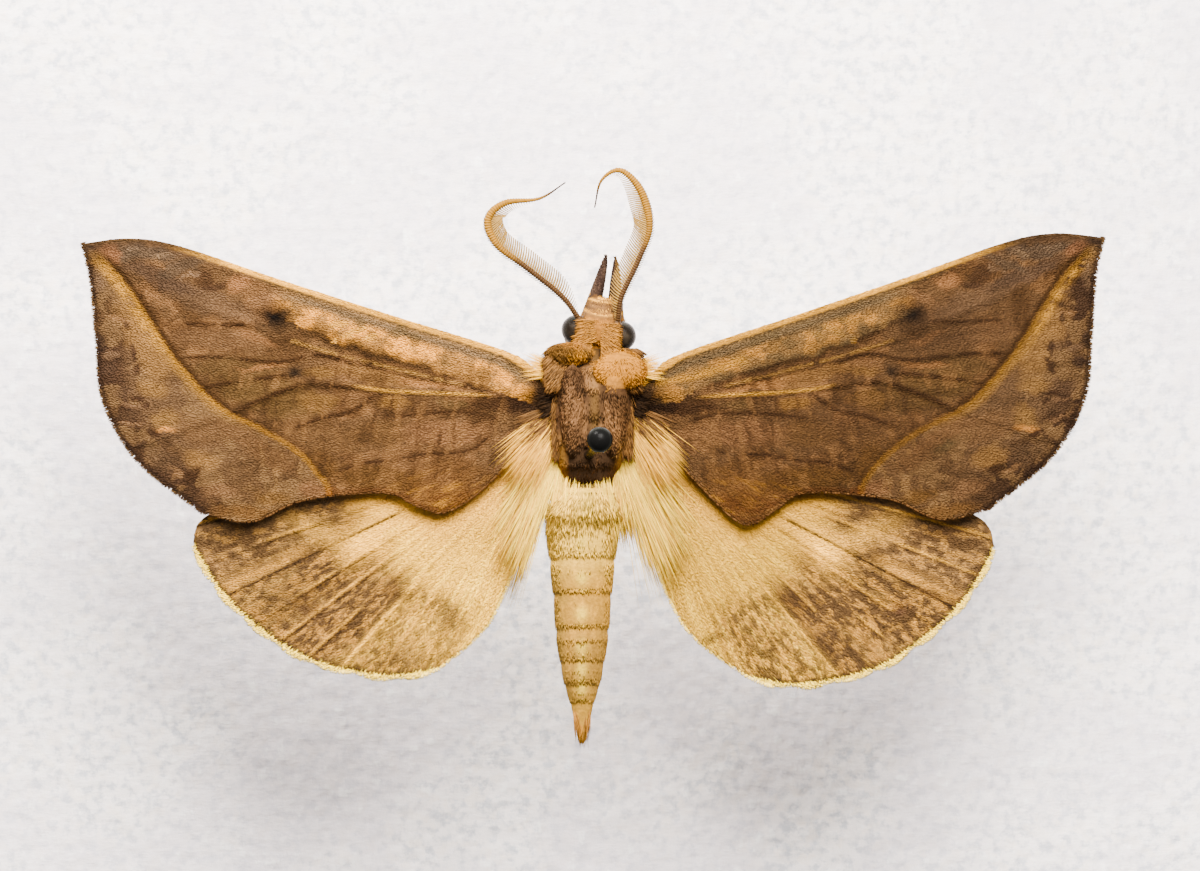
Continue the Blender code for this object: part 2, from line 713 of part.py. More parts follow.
def forewing_veins(side):
    veins = [smooth_line(route, FORE_VEIN_STEP) for route in FORE_VEINS.values()]
    return [turned(v, FORE_TURN[side], FORE_TURN_CENTRE) for v in veins]


def hindwing_veins(side):
    """A fan of veins from the root, each ending just inside the edge."""
    edge = hindwing_edge(side)
    veins = []
    for i, degrees in enumerate(HIND_VEIN_ANGLES):
        turn = math.radians(degrees)
        run = np.array([math.cos(turn), math.sin(turn)])
        along = np.arange(HIND_VEIN_START + 1.2 * (i % 2), 25.0, 0.2)
        points = np.array(HIND_ROOT) + along[:, None] * run
        points = points[inside(points, edge)][:-3]
        count = max(2, round(len(points) * 0.2 / HIND_VEIN_STEP))
        veins.append(points[np.linspace(0, len(points) - 1, count + 1).round().astype(int)])
    return veins


def wing_rise(x):
    """The height of a spread wing over its root: a low arch that comes down again at the tip."""
    return WING_RISE * np.sin(math.pi * np.clip(x / HALF_SPAN, 0, 1) ** 0.8)


def hindwing_fold(points):
    """The shallow fan folds between the veins, which fade out towards the root and below the forewing."""
    offset = points - np.array(HIND_ROOT)
    degrees = np.degrees(np.arctan2(offset[:, 1], offset[:, 0]))
    reach = np.clip((np.linalg.norm(offset, axis=1) - 7.0) / 6.0, 0, 1)
    clear = np.clip((-points[:, 1] - 5.0) / 3.0, 0, 1)
    return HIND_FOLD * reach * clear * np.sin(degrees / 8.0 * math.pi)


def wing_solid(edge, veins, middle, side):
    """A closed sheet over a triangulation of its edge and veins, each vein a ridge on both faces."""
    lines = []
    for vein in veins:
        run = np.gradient(vein, axis=0)
        across = np.stack([-run[:, 1], run[:, 0]], axis=1) / np.linalg.norm(run, axis=1)[:, None]
        lines += [vein, vein + across * VEIN_HALF_WIDTH, vein - across * VEIN_HALF_WIDTH]
    lines = [line[inside(line, edge) & (distance_to(line, edge) > 0.3)] for line in lines]
    lines = [line for line in lines if len(line) > 1]
    low, high = edge.min(axis=0), edge.max(axis=0)
    rows = np.arange(low[1], high[1], WING_GRID * 0.87)
    grid = [
        (x + (i % 2) * WING_GRID / 2, y)
        for i, y in enumerate(rows)
        for x in np.arange(low[0], high[0], WING_GRID)
    ]
    grid = np.array(grid)
    closed = np.vstack([edge, edge[:1]])
    keep = inside(grid, edge) & (distance_to(grid, closed) > WING_GRID * 0.45)
    for line in lines:
        keep &= distance_to(grid, line) > WING_GRID * 0.4
    points = [tuple(p) for p in edge]
    links = [(i, (i + 1) % len(edge)) for i in range(len(edge))]
    for line in lines:
        first = len(points)
        points += [tuple(p) for p in line]
        links += [(first + i, first + i + 1) for i in range(len(line) - 1)]
    points += [tuple(p) for p in grid[keep]]
    made, _, triangles, *_ = delaunay_2d_cdt([Vector(p) for p in points], links, [], 1, 1e-4)
    flat = np.array([tuple(p) for p in made])
    ridge = np.zeros(len(flat))
    for vein in veins:
        ridge = np.maximum(ridge, 1 - distance_to(flat, vein) / VEIN_HALF_WIDTH)
    ridge *= VEIN_RIDGE
    level = middle(flat)
    half = WING_THICKNESS / 2 + ridge
    flat[:, 0] *= mirrored_x(side)
    top = np.column_stack([flat, level + half])
    bottom = np.column_stack([flat, level - half])
    count = len(flat)
    faces = []
    used = {}
    for triangle in triangles:
        a, b, c = triangle
        faces += [(a, b, c), (c + count, b + count, a + count)]
        for pair in ((a, b), (b, c), (c, a)):
            used[frozenset(pair)] = None if frozenset(pair) in used else pair
    for pair in used.values():
        if pair is not None:
            a, b = pair
            faces += [(b, a, a + count), (b, a + count, b + count)]
    return largest_surface(facing_out(shape(np.vstack([top, bottom]), faces)))


def make_wings():
    for side in ("left", "right"):
        sign = mirrored_x(side)
        fore = wing_solid(
            forewing_edge(side), forewing_veins(side), lambda p: WING_LEVEL + wing_rise(p[:, 0]), side
        )
        x, y = FORE_COSTA[0]
        node(f"forewing_{side}", fore, "forewing", (sign * x, y, WING_LEVEL), 20.0)
        hind = wing_solid(
            hindwing_edge(side),
            hindwing_veins(side),
            lambda p: WING_LEVEL - WING_STACK + wing_rise(p[:, 0]) + hindwing_fold(p),
            side,
        )
        x, y = HIND_ROOT
        node(f"hindwing_{side}", hind, "hindwing", (sign * x, y, WING_LEVEL - WING_STACK), 20.0)


def main():
    clear_scene()
    make_base()
    make_pin()
    make_thorax()
    make_abdomen()
    make_head()
    make_proboscis()
    make_palps()
    make_antennae()
    make_legs()
    make_wings()


main()
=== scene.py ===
"""The looks of a pinned vampire moth: scaled wings, haired body, combed antennae, pin and foam block.

Sizes are in millimetres, as a moth is measured, and become metres where a mesh is made.
"""

import math

import bmesh
import bpy
import numpy as np
from mathutils import Matrix, Vector
from mathutils.geometry import delaunay_2d_cdt


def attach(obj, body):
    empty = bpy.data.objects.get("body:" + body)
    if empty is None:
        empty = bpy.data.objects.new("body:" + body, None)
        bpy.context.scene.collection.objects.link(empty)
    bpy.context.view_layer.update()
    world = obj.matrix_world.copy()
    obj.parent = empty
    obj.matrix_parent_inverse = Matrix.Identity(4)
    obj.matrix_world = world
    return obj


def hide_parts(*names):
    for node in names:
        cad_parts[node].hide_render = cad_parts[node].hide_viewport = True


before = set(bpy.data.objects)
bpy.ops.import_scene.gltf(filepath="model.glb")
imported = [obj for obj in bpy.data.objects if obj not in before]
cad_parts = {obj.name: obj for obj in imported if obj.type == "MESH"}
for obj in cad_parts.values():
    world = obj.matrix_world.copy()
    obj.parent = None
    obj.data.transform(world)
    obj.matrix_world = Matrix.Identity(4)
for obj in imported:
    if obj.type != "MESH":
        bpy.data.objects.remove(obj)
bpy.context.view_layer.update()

MM = 0.001
SIDES = {"left": -1.0, "right": 1.0}

# Levels that the wings, the trunk and the camera share
WING_LEVEL = 26.0
WING_RISE = 0.45
HALF_SPAN = 23.0
FORE_DROP = 0.17
HIND_DROP = 0.84
MEMBRANE = 0.07
MEMBRANE_STEP = 0.17

# The forewing's edge on the right side, from the body's middle line, fringe included
FORE_COSTA = [
    (1.7, 2.3), (2.6, 3.0), (3.9, 3.8), (9.0, 5.4), (14.0, 7.0), (18.5, 8.5), (20.8, 8.85), (23.05, 8.6),
]
FORE_OUTER = [(23.05, 8.6), (22.65, 6.9), (22.4, 4.2), (22.05, 1.4), (20.5, -1.25), (17.6, -3.55)]
FORE_INNER = [
    (17.6, -3.55), (15.3, -3.95), (13.0, -3.0), (9.4, -2.65), (8.0, -3.2), (6.7, -3.55),
    (5.2, -2.7), (3.6, -1.15), (2.3, 0.5), (1.6, 1.2),
]
LOBE_PLACE = 6.5
LOBE_WIDTH = 1.5
LOBE_DROP = {"left": 0.0, "right": 0.5}
FORE_TURN = {"left": 0.0, "right": 1.1}
FORE_TURN_CENTRE = (9.0, 5.4)
FORE_ROOT = (2.0, 1.7)

# The hindwing's edge in the same view
HIND_COSTA = [(1.6, 0.3), (6.0, -0.2), (11.0, -1.3), (15.3, -2.6), (17.6, -3.7), (18.1, -5.0)]
HIND_OUTER = [(18.1, -5.0), (16.95, -6.95), (15.1, -8.75), (12.75, -10.2), (9.3, -10.95), (6.9, -10.6)]
HIND_INNER = [(6.9, -10.6), (5.1, -9.05), (4.15, -7.5), (3.2, -4.9), (2.1, -1.5), (1.5, -0.8)]
HIND_REACH = {"left": 1.0, "right": 1.035}
HIND_FULLNESS = {"left": 0.1, "right": 0.75}
HIND_SCALLOPS = 7
HIND_SCALLOP_DEPTH = 0.16
HIND_ROOT = (2.3, -0.4)
HIND_VEIN_ANGLES = [-13.0, -19.5, -32.0, -37.0, -42.5, -48.0, -55.0, -62.0]
HIND_SWING = {"left": 0.0, "right": 2.2}
HIND_FOLD = 0.12

# How far from the edge the lower side's scales begin
UNDER_MARGIN = 0.32

# The scales of each wing's faces: their spacing across and along, length and width
UPPER_SCALES = {"forewing": ((0.062, 0.104), 0.24, 0.088), "hindwing": ((0.058, 0.108), 0.28, 0.078)}
LOWER_SCALES = {"forewing": ((0.13, 0.22), 0.42, 0.17), "hindwing": ((0.13, 0.22), 0.45, 0.17)}
LASH_SPACING = 0.011
# A short way over the membrane, to measure its slope
SHORT_WAY = 0.06

# How far the fringe hairs stand past the membrane along each edge
FORE_FRINGE = {"costa": 0.03, "outer": 0.2, "inner": 0.14}
HIND_FRINGE = {"costa": 0.08, "outer": 0.22, "inner": 0.2}

# Markings of the forewing, in the left wing's place, mirrored
OBLIQUE_LINE = [
    (22.5, 8.4), (21.75, 7.68), (20.8, 6.55), (20.1, 5.5), (19.4, 4.4), (18.7, 3.4), (17.7, 2.25),
    (16.6, 1.2), (15.2, 0.5), (13.9, -0.2), (12.9, -0.95), (12.2, -1.75), (11.85, -2.2), (11.6, -3.2),
]
DARK_STRIPE = [(12.6, 4.6), (11.2, 4.0), (9.4, 3.5), (7.2, 2.9), (5.6, 2.38), (4.2, 1.9)]
RADIUS_VEIN = [(13.4, 4.2), (11.8, 3.7), (10.0, 3.25), (7.5, 2.65), (5.8, 2.25)]
CUBITUS_PALE = [(10.9, 2.25), (9.5, 2.02), (8.0, 1.92), (6.0, 1.86), (4.2, 1.78)]
FORE_VEINS = [
    [(15.9, 1.12), (14.2, 1.85), (12.75, 2.33), (11.6, 2.2), (10.4, 2.12)],
    [(18.3, 5.0), (16.4, 4.93), (14.8, 4.98)],
    [(18.6, 3.5), (16.5, 3.5), (14.0, 3.28), (12.2, 3.6), (10.6, 3.15)],
    [(17.7, 2.1), (16.0, 2.4), (14.6, 2.58), (13.5, 2.72)],
    [(13.4, 0.3), (12.1, 0.8), (10.6, 1.15), (9.6, 1.9)],
    [(9.6, 0.75), (8.0, 0.95), (6.4, 1.05), (5.2, 1.0), (4.0, 0.7)],
    [(11.6, -1.7), (10.2, -1.2), (9.0, -1.12), (7.8, -0.85), (6.2, -0.75), (5.2, -0.5), (4.4, 0.2)],
    [(16.4, -0.85), (15.6, -0.6), (14.9, -0.3)],
    [(14.9, -1.3), (13.8, -1.42)],
    [(18.2, -1.5), (17.0, -1.7), (15.9, -2.0), (14.6, -2.35)],
]
RIDGED_VEINS = [
    [(2.6, 3.0), (8.6, 4.6), (12.4, 6.0), (16.5, 7.4)],
    [(2.9, 2.0), (5.8, 2.25), (10.0, 3.25), (13.4, 4.2), (18.9, 6.3), (22.0, 8.0)],
    [(2.6, 1.8), (6.0, 1.86), (9.5, 2.02), (12.8, 2.35), (16.0, 1.1), (20.7, -0.6)],
]
# Cross lines between the veins: X and Y of both ends
RUNGS = [
    (11.4, 3.1, 11.5, 2.5), (10.8, 3.15, 10.85, 2.55), (8.0, 1.75, 8.0, 1.05), (7.1, 1.75, 7.2, 1.1),
    (11.15, 1.8, 11.25, 0.2), (7.8, 0.75, 7.9, -0.5), (6.15, 0.85, 6.2, -0.65), (8.95, 1.7, 8.98, 1.0),
    (6.75, 0.3, 6.85, -0.4), (6.9, -0.9, 7.0, -2.0), (8.0, -1.0, 8.1, -2.2), (9.7, 1.0, 9.8, 0.2),
]
# Patches: middle, half length and half width, turn in degrees, red, green and blue, strength
FORE_PATCHES = [
    (14.6, 1.9, 2.6, 1.0, 15, 134, 96, 52, 0.9), (15.9, 3.05, 2.2, 0.4, -3, 138, 99, 58, 0.9),
    (14.7, 3.05, 1.1, 0.13, -3, 188, 140, 98, 0.9), (16.9, 4.3, 2.2, 0.5, 5, 158, 114, 78, 0.8),
    (14.9, 4.25, 0.9, 0.16, 25, 184, 136, 96, 0.7), (17.0, 5.9, 2.4, 0.6, 20, 146, 108, 80, 0.8),
    (19.3, 7.0, 1.9, 0.42, 22, 112, 82, 64, 0.85), (17.35, 7.0, 0.6, 0.45, 40, 100, 66, 42, 0.85),
    (20.0, 8.1, 1.7, 0.4, 5, 126, 100, 82, 0.85), (18.4, 7.5, 1.2, 0.3, -20, 124, 96, 76, 0.8),
    (19.2, 8.0, 0.5, 0.14, -20, 170, 138, 112, 0.7), (20.6, 8.3, 0.4, 0.1, 10, 166, 136, 114, 0.6),
    (18.0, 7.2, 0.5, 0.1, -25, 170, 136, 112, 0.7), (16.9, 6.6, 0.6, 0.16, -10, 98, 66, 46, 0.8),
    (21.5, 8.1, 0.55, 0.3, 30, 178, 124, 88, 0.8), (22.75, 8.55, 0.75, 0.3, 10, 46, 30, 22, 0.95),
    (15.75, 6.75, 0.55, 0.32, -10, 196, 150, 114, 0.85), (14.6, 6.1, 0.9, 0.24, -20, 178, 134, 98, 0.8),
    (13.3, 5.1, 1.0, 0.42, -20, 110, 76, 46, 0.8), (12.2, 1.5, 0.9, 0.42, 0, 172, 126, 72, 0.85),
    (12.1, 2.75, 0.75, 0.25, 0, 174, 128, 74, 0.8), (9.6, 2.65, 2.2, 0.34, 10, 178, 132, 82, 0.85),
    (7.2, 2.25, 1.5, 0.2, 10, 198, 152, 110, 0.85), (8.85, 1.45, 0.75, 0.32, 0, 178, 130, 72, 0.85),
    (6.3, 1.45, 0.8, 0.24, 0, 140, 102, 60, 0.8), (12.0, -0.1, 2.2, 0.7, 10, 146, 102, 62, 0.8),
    (9.5, 0.1, 1.3, 0.6, 0, 140, 96, 54, 0.8), (6.6, 0.15, 1.9, 0.62, 0, 172, 124, 86, 0.85),
    (9.4, -2.0, 2.4, 0.65, 4, 128, 84, 38, 0.9), (6.2, -1.5, 1.6, 0.5, 10, 142, 94, 50, 0.8),
    (11.7, -2.6, 0.5, 0.3, 0, 150, 84, 28, 0.85), (12.3, -1.5, 0.9, 0.9, 0, 132, 86, 38, 0.8),
    (4.2, 1.35, 1.25, 0.38, 0, 92, 58, 32, 0.9), (3.0, 1.7, 0.8, 0.6, 0, 80, 50, 28, 0.9),
    (3.6, 0.6, 1.2, 0.3, 15, 140, 98, 60, 0.7),
]
# Patches beyond the oblique line
OUTER_PATCHES = [
    (20.4, 4.9, 0.7, 1.3, -25, 186, 144, 98, 0.85), (19.5, 3.4, 0.8, 1.0, -35, 184, 142, 96, 0.85),
    (19.6, 2.05, 0.7, 0.4, 10, 184, 142, 94, 0.8), (19.1, 0.65, 0.6, 0.48, 0, 182, 140, 90, 0.8),
    (19.1, 0.2, 0.5, 0.14, 0, 214, 168, 124, 0.8), (17.6, -1.1, 0.8, 0.4, 20, 180, 136, 86, 0.75),
    (17.5, 0.2, 1.3, 0.7, 20, 160, 116, 78, 0.8), (15.6, 0.0, 1.4, 0.4, 25, 158, 112, 74, 0.8),
    (14.2, -1.0, 1.3, 0.5, 25, 146, 100, 62, 0.8), (16.6, -2.5, 0.9, 0.34, 10, 172, 128, 92, 0.75),
    (12.5, -2.4, 0.55, 0.5, 0, 172, 122, 84, 0.8), (14.3, -2.8, 0.9, 0.32, 10, 150, 102, 48, 0.85),
    (15.2, -3.5, 1.7, 0.3, 5, 164, 114, 62, 0.85), (21.9, 4.2, 0.32, 0.4, 0, 82, 58, 44, 0.85),
    (21.6, 3.0, 0.45, 0.32, 0, 96, 68, 52, 0.8), (21.5, 3.65, 0.4, 0.2, 0, 160, 122, 94, 0.8),
    (20.95, 5.0, 0.14, 0.3, -20, 100, 70, 52, 0.85), (21.2, 5.2, 0.4, 0.12, 20, 190, 150, 116, 0.7),
    (20.5, 3.7, 0.15, 0.42, -10, 84, 56, 42, 0.85), (20.3, 2.95, 0.16, 0.36, 25, 78, 50, 36, 0.85),
    (20.4, 1.65, 0.3, 0.14, 20, 80, 50, 34, 0.85), (20.1, 1.3, 0.14, 0.14, 0, 84, 54, 38, 0.8),
    (21.0, 1.9, 0.5, 0.3, 0, 128, 92, 68, 0.7), (20.8, 1.4, 0.5, 0.1, 15, 168, 128, 98, 0.7),
    (20.7, 0.95, 0.6, 0.22, 10, 118, 84, 60, 0.75), (20.7, 0.55, 0.6, 0.08, 10, 176, 136, 104, 0.7),
    (19.6, 0.0, 0.34, 0.15, 30, 84, 52, 32, 0.85), (18.9, -0.55, 0.5, 0.2, 30, 108, 74, 48, 0.75),
    (19.4, -1.0, 0.9, 0.4, 35, 132, 96, 68, 0.75), (17.85, -1.65, 0.42, 0.22, -15, 82, 52, 30, 0.9),
    (18.6, -1.6, 0.4, 0.12, 30, 176, 134, 98, 0.7), (22.1, 7.0, 0.3, 0.7, 0, 160, 124, 96, 0.7),
]
# On each side the first two patches are painted shadow: the forewing's shadow on the hindwing below its rear
# edge
HIND_PATCHES = {
    "left": [
        (15.9, -4.4, 1.3, 0.5, -10, 112, 78, 48, 0.7), (13.0, -3.45, 1.3, 0.16, -14, 112, 78, 48, 0.7),
        (16.9, -5.6, 0.8, 0.3, 20, 186, 146, 104, 0.6), (8.8, -6.9, 0.75, 0.45, 35, 124, 86, 52, 0.75),
        (12.9, -7.7, 0.9, 0.5, 35, 124, 84, 52, 0.7), (6.4, -8.2, 0.4, 0.6, 0, 144, 106, 66, 0.8),
        (8.3, -9.7, 0.9, 0.6, 30, 150, 112, 72, 0.7), (9.6, -5.0, 0.8, 0.4, 30, 240, 212, 164, 0.6),
    ],
    "right": [
        (15.6, -4.3, 1.3, 0.4, 0, 110, 74, 46, 0.75), (12.8, -3.5, 1.4, 0.18, -12, 116, 80, 50, 0.7),
        (8.7, -7.3, 1.1, 0.5, -5, 112, 76, 44, 0.8), (10.4, -9.3, 0.6, 1.1, 25, 128, 90, 56, 0.6),
        (13.8, -7.7, 0.5, 0.4, 0, 120, 80, 58, 0.8), (5.2, -9.1, 0.5, 0.25, 20, 150, 112, 68, 0.8),
        (6.2, -8.2, 0.4, 0.3, 0, 150, 112, 68, 0.7), (15.0, -7.0, 1.3, 0.12, -20, 96, 64, 38, 0.8),
    ],
}
CREAM_SPECKS = [
    ((11.35, 4.98), (0.5, 0.17), -8), ((10.55, 4.68), (0.6, 0.15), -22), ((9.9, 4.42), (0.36, 0.13), -25),
    ((11.5, 4.2), (0.16, 0.15), 0), ((10.9, 4.4), (0.36, 0.06), -5),
]

# The trunk, as half widths and heights above and below a middle level, at places along Y
BODY_LEAN = [(4.0, 0.12), (1.0, 0.0), (-2.4, -0.25), (-4.2, -0.5), (-14.0, -0.52)]
THORAX_LEVEL = WING_LEVEL - 0.2
THORAX_STATIONS = [
    (3.5, 1.15, 1.05, 1.1), (3.0, 1.65, 1.5, 1.7), (2.2, 1.95, 1.8, 2.3), (1.0, 2.0, 1.95, 2.6),
    (-0.2, 1.85, 1.9, 2.55), (-1.2, 1.6, 1.6, 2.2), (-1.9, 1.25, 1.2, 1.7), (-2.35, 0.95, 0.8, 1.2),
]
ABDOMEN_LEVEL = WING_LEVEL - 0.55
ABDOMEN_SAG = 0.5
ABDOMEN_START = -2.65
ABDOMEN_RINGS = [-3.3, -5.3, -6.9, -8.5, -10.0, -11.0, -11.85]
ABDOMEN_TIP = -13.85
ABDOMEN_WIDTHS = [
    (-2.0, 1.2), (-2.65, 1.5), (-3.4, 1.8), (-4.7, 1.68), (-7.4, 1.4), (-9.2, 1.28), (-10.9, 1.0),
    (-11.85, 0.73), (-12.7, 0.51), (-13.85, 0.27),
]
SKIN_INSET = 0.14
SKIN_STEP = 0.075
BODY_SPOTS = 700000
ROOT_DEPTH = 0.03

# The head, in a frame of its own that is turned a little to the right
NECK = (0.13, 3.85, WING_LEVEL + 0.05)
HEAD_YAW = -8.0
HEAD_STATIONS = [
    (-0.6, 0.85, 0.75, 0.8), (0.0, 0.95, 0.85, 0.9), (0.4, 1.06, 1.1, 1.2), (1.0, 1.05, 1.18, 1.25),
    (1.5, 0.88, 1.05, 1.1), (1.9, 0.7, 0.82, 0.8), (2.25, 0.45, 0.5, 0.5), (2.42, 0.22, 0.25, 0.25),
]
EYE_CENTRE = (1.02, 0.75, 0.0)
EYE_RADII = (0.66, 0.66, 0.78)
MOUTH_CENTRE = (0.08, 1.05, -1.35)
COIL_RADIUS = 0.42
COIL_TUBE = 0.2
PALP_SPREAD = (0.62, 0.46, 0.22)
PALP_REACH = (1.2, 2.25, 4.15)
PALP_LIFT = (-0.85, -0.35, 0.3)
PALP_MIDDLE = 0.08

COLLAR_FLAPS = {
    "left": ((-1.1, 3.7, 1.0), (1.15, 0.52, 0.3), 12.0),
    "right": ((1.2, 2.95, 1.25), (1.2, 0.86, 0.3), 12.0),
}
TEGULA = ((0.93, 1.15, 1.2), (0.74, 2.15, 0.6), 28.0)

ANTENNA_LEVEL = WING_LEVEL + 0.85
ANTENNA_ROUTES = {
    "left": [
        (-0.45, 4.9, -0.3), (-0.75, 5.35, 0.0), (-1.45, 6.25, 0.3), (-2.95, 7.45, 0.5), (-4.3, 8.5, 0.5),
        (-4.7, 9.6, 0.45), (-3.95, 10.35, 0.4), (-2.4, 10.55, 0.4), (-1.25, 11.25, 0.6),
    ],
    "right": [
        (0.95, 4.7, -0.3), (1.1, 5.2, 0.0), (1.25, 6.2, 0.3), (2.0, 7.8, 0.55), (2.5, 9.3, 0.6),
        (2.1, 10.9, 0.55), (1.2, 11.8, 0.5), (0.35, 11.35, 0.4), (0.05, 10.15, 0.3),
    ],
}
SHAFT_RADIUS = 0.12
COMB_REACH = 0.75
COMB_TEETH = 92.0

LEG_ROUTES = {
    "front": [
        (0.7, 2.7, -1.4), (0.9, 3.3, -2.9), (1.25, 4.7, -3.3), (1.0, 3.9, -4.0), (0.75, 2.2, -4.4),
        (0.7, 0.4, -4.5),
    ],
    "middle": [
        (1.2, 1.3, -1.5), (1.7, 1.7, -2.9), (2.6, 2.5, -3.2), (2.6, 1.2, -3.5), (2.0, -0.9, -4.3),
        (1.1, -3.0, -4.6),
    ],
    "hind": [
        (1.3, -0.3, -1.3), (1.5, -1.1, -2.6), (1.4, -2.8, -3.1), (1.05, -4.6, -3.4), (0.75, -7.0, -3.5),
        (0.45, -9.3, -3.4),
    ],
}
LEG_RADII = [0.36, 0.34, 0.25, 0.19, 0.15, 0.09]
SPURS = {"front": [], "middle": [0.74], "hind": [0.55, 0.78]}
SPUR_LENGTH = 0.7

PIN_RADIUS = 0.2
PIN_HEAD_RADIUS = 0.56
PIN_TOP = 38.0
PIN_ENTRY = (-0.2, -0.85)
PIN_HEAD_OFFSET = (0.48, 0.66)
PIN_DEPTH = 4.0
BASE_SIZE = (62.0, 47.0, 10.0)
BASE_CORNER_RADIUS = 3.0
BASE_STEP = 0.3
FOAM = {
    "pale": (0.86, 0.8, 0.78, 1), "blue": (0.35, 0.38, 0.44, 1), "cream": (0.88, 0.78, 0.7, 1),
    "mauve": (0.66, 0.6, 0.64, 1), "bright": (0.93, 0.91, 0.89, 1),
}

# How the studio's light turns into screen values: a mix of channels, a film curve, and a mix back
LIGHT_LEVEL = 3.4
SCREEN_MIX = np.array([[0.496, 0.383, 0.121], [0.142, 0.742, 0.117], [0.132, 0.27, 0.598]])
LIGHT_MIX = np.array([[2.526, -1.297, -0.229], [-0.477, 1.909, -0.433], [-0.332, -0.485, 1.818]])
FILM_CURVE = [-14.39, 50.637, -53.599, 29.633, -8.983]
PALEST = 0.93
LEAST_SHARE = 0.1
# Scales light one another and so deepen a colour: what that takes from the green and leaves in the blue
LIVELY_GREEN = 0.22
CALM_BLUE = 0.85

# The part of a coat piece's map that one scale takes
MAP_PATCH = 0.003

CAMERA_HEIGHT = 230.0
FRAME_WIDTH = 53.7
CAMERA_SHIFT = 0.29
FLOOR_HALF = 1500.0


# Numbers and fields

def step(value, low, high):
    """0 below low, 1 above high, and a smooth rise between; low may be the larger."""
    share = np.clip((value - low) / (high - low), 0, 1)
    return share * share * (3 - 2 * share)


def soft(distance, width):
    return np.exp(-((distance / width) ** 2))


def lattice(cells, seed):
    """A number from 0 to 1 for each whole-numbered cell."""
    total = np.full(cells.shape[0], seed * 1442695041, dtype=np.uint64)
    for axis, factor in enumerate((374761393, 668265263, 2147483647)[: cells.shape[1]]):
        total += (cells[:, axis].astype(np.int64) * factor).astype(np.uint64)
    total = (total ^ (total >> np.uint64(13))) * np.uint64(1274126177)
    total = total & np.uint64(0xFFFFFFFF)
    return ((total ^ (total >> np.uint64(16))) & np.uint64(0xFFFF)).astype(float) / 65535.0


def cloud(places, size, seed, octaves=3):
    """Smooth noise from 0 to 1 with blotches of about that size, in two or three dimensions."""
    places = np.asarray(places, float) / size
    total = np.zeros(len(places))
    weight_sum = 0.0
    for octave in range(octaves):
        scaled = places * 2**octave + 17.3 * octave
        cell = np.floor(scaled).astype(np.int64)
        part = scaled - cell
        part = part * part * (3 - 2 * part)
        value = np.zeros(len(places))
        for corner in np.ndindex(*(2,) * places.shape[1]):
            corner = np.array(corner)
            share = np.prod(np.where(corner == 1, part, 1 - part), axis=1)
            value += share * lattice(cell + corner, seed + octave)
        weight = 0.55**octave
        total += value * weight
        weight_sum += weight
    return total / weight_sum


def grain(across, along, seed, octaves=2):
    """Noise over two axes that are stretched beforehand, for streaks, dashes and rows of freckles."""
    return cloud(np.column_stack([across, along]), 1.0, seed, octaves)


def shifts(places, size, *seeds):
    """A smooth random shift for each place, up to a half each way along X and Y."""
    return np.column_stack([cloud(places, size, seed) for seed in seeds]) - 0.5


def smooth_line(anchors, spacing):
    """Points about a spacing apart on a smooth curve through the anchors."""
    anchors = np.array(anchors, float)
    run = np.vstack([2 * anchors[0] - anchors[1], anchors, 2 * anchors[-1] - anchors[-2]])
    points = []
    for i in range(1, len(run) - 2):
        a, b, c, d = run[i - 1 : i + 3]
        count = max(1, round(np.linalg.norm(c - b) / spacing))
        for t in np.arange(count) / count:
            curved = (2 * a - 5 * b + 4 * c - d) * t**2 + (3 * b - a - 3 * c + d) * t**3
            points.append(0.5 * (2 * b + (c - a) * t + curved))
    points.append(run[-2])
    return np.array(points)


def line_distance(places, line):
    """For each place: the distance to a broken line, its sign by side, and how far along the line it is."""
    best = np.full(len(places), np.inf)
    sign = np.ones(len(places))
    along = np.zeros(len(places))
    lengths = run_lengths(line)
    for i, (a, b) in enumerate(zip(line[:-1], line[1:])):
        run = b - a
        share = np.clip((places - a) @ run / (run @ run), 0, 1)
        gap = places - (a + share[:, None] * run)
        distance = np.linalg.norm(gap, axis=1)
        nearer = distance < best
        best = np.where(nearer, distance, best)
        sign = np.where(nearer, np.sign(run[0] * gap[:, 1] - run[1] * gap[:, 0]), sign)
        along = np.where(nearer, (lengths[i] + share * (lengths[i + 1] - lengths[i])) / lengths[-1], along)
    return best, sign, along


def run_lengths(line):
    """How far along a broken line each of its points is."""
    return np.r_[0, np.cumsum(np.linalg.norm(np.diff(line, axis=0), axis=1))]


def curve_gap(places, anchors, spacing):
    """The distance from each place to the smooth curve through the anchors."""
    return line_distance(places, smooth_line(anchors, spacing))[0]


def nearest(places, points):
    """For each place: the distance to the nearest of the points, and that point's number."""
    best = np.full(len(places), np.inf)
    which = np.zeros(len(places), int)
    for i, point in enumerate(points):
        distance = np.linalg.norm(places - point, axis=1)
        nearer = distance < best
        best = np.where(nearer, distance, best)
        which[nearer] = i
    return best, which


def polar(places, root):
    """How far each place is from a wing's root, and at which angle."""
    offset = places - np.array(root)
    return np.linalg.norm(offset, axis=1), np.arctan2(offset[:, 1], offset[:, 0])


def inside_some(places, edge):
    """Which places lie within a closed edge."""
    x, y = places[:, 0, None], places[:, 1, None]
    ax, ay = edge[:, 0], edge[:, 1]
    bx, by = np.roll(ax, -1), np.roll(ay, -1)
    crosses = (ay > y) != (by > y)
    with np.errstate(divide="ignore", invalid="ignore"):
        at = (bx - ax) * (y - ay) / (by - ay) + ax
    return (crosses & (x < at)).sum(axis=1) % 2 == 1


def inside(places, edge, batch=4000):
    return np.concatenate([inside_some(places[i : i + batch], edge) for i in range(0, len(places), batch)])


def turned(points, degrees, about):
    turn = math.radians(degrees)
    spin = np.array([[math.cos(turn), math.sin(turn)], [-math.sin(turn), math.cos(turn)]])
    return (np.array(points, float) - about) @ spin + about


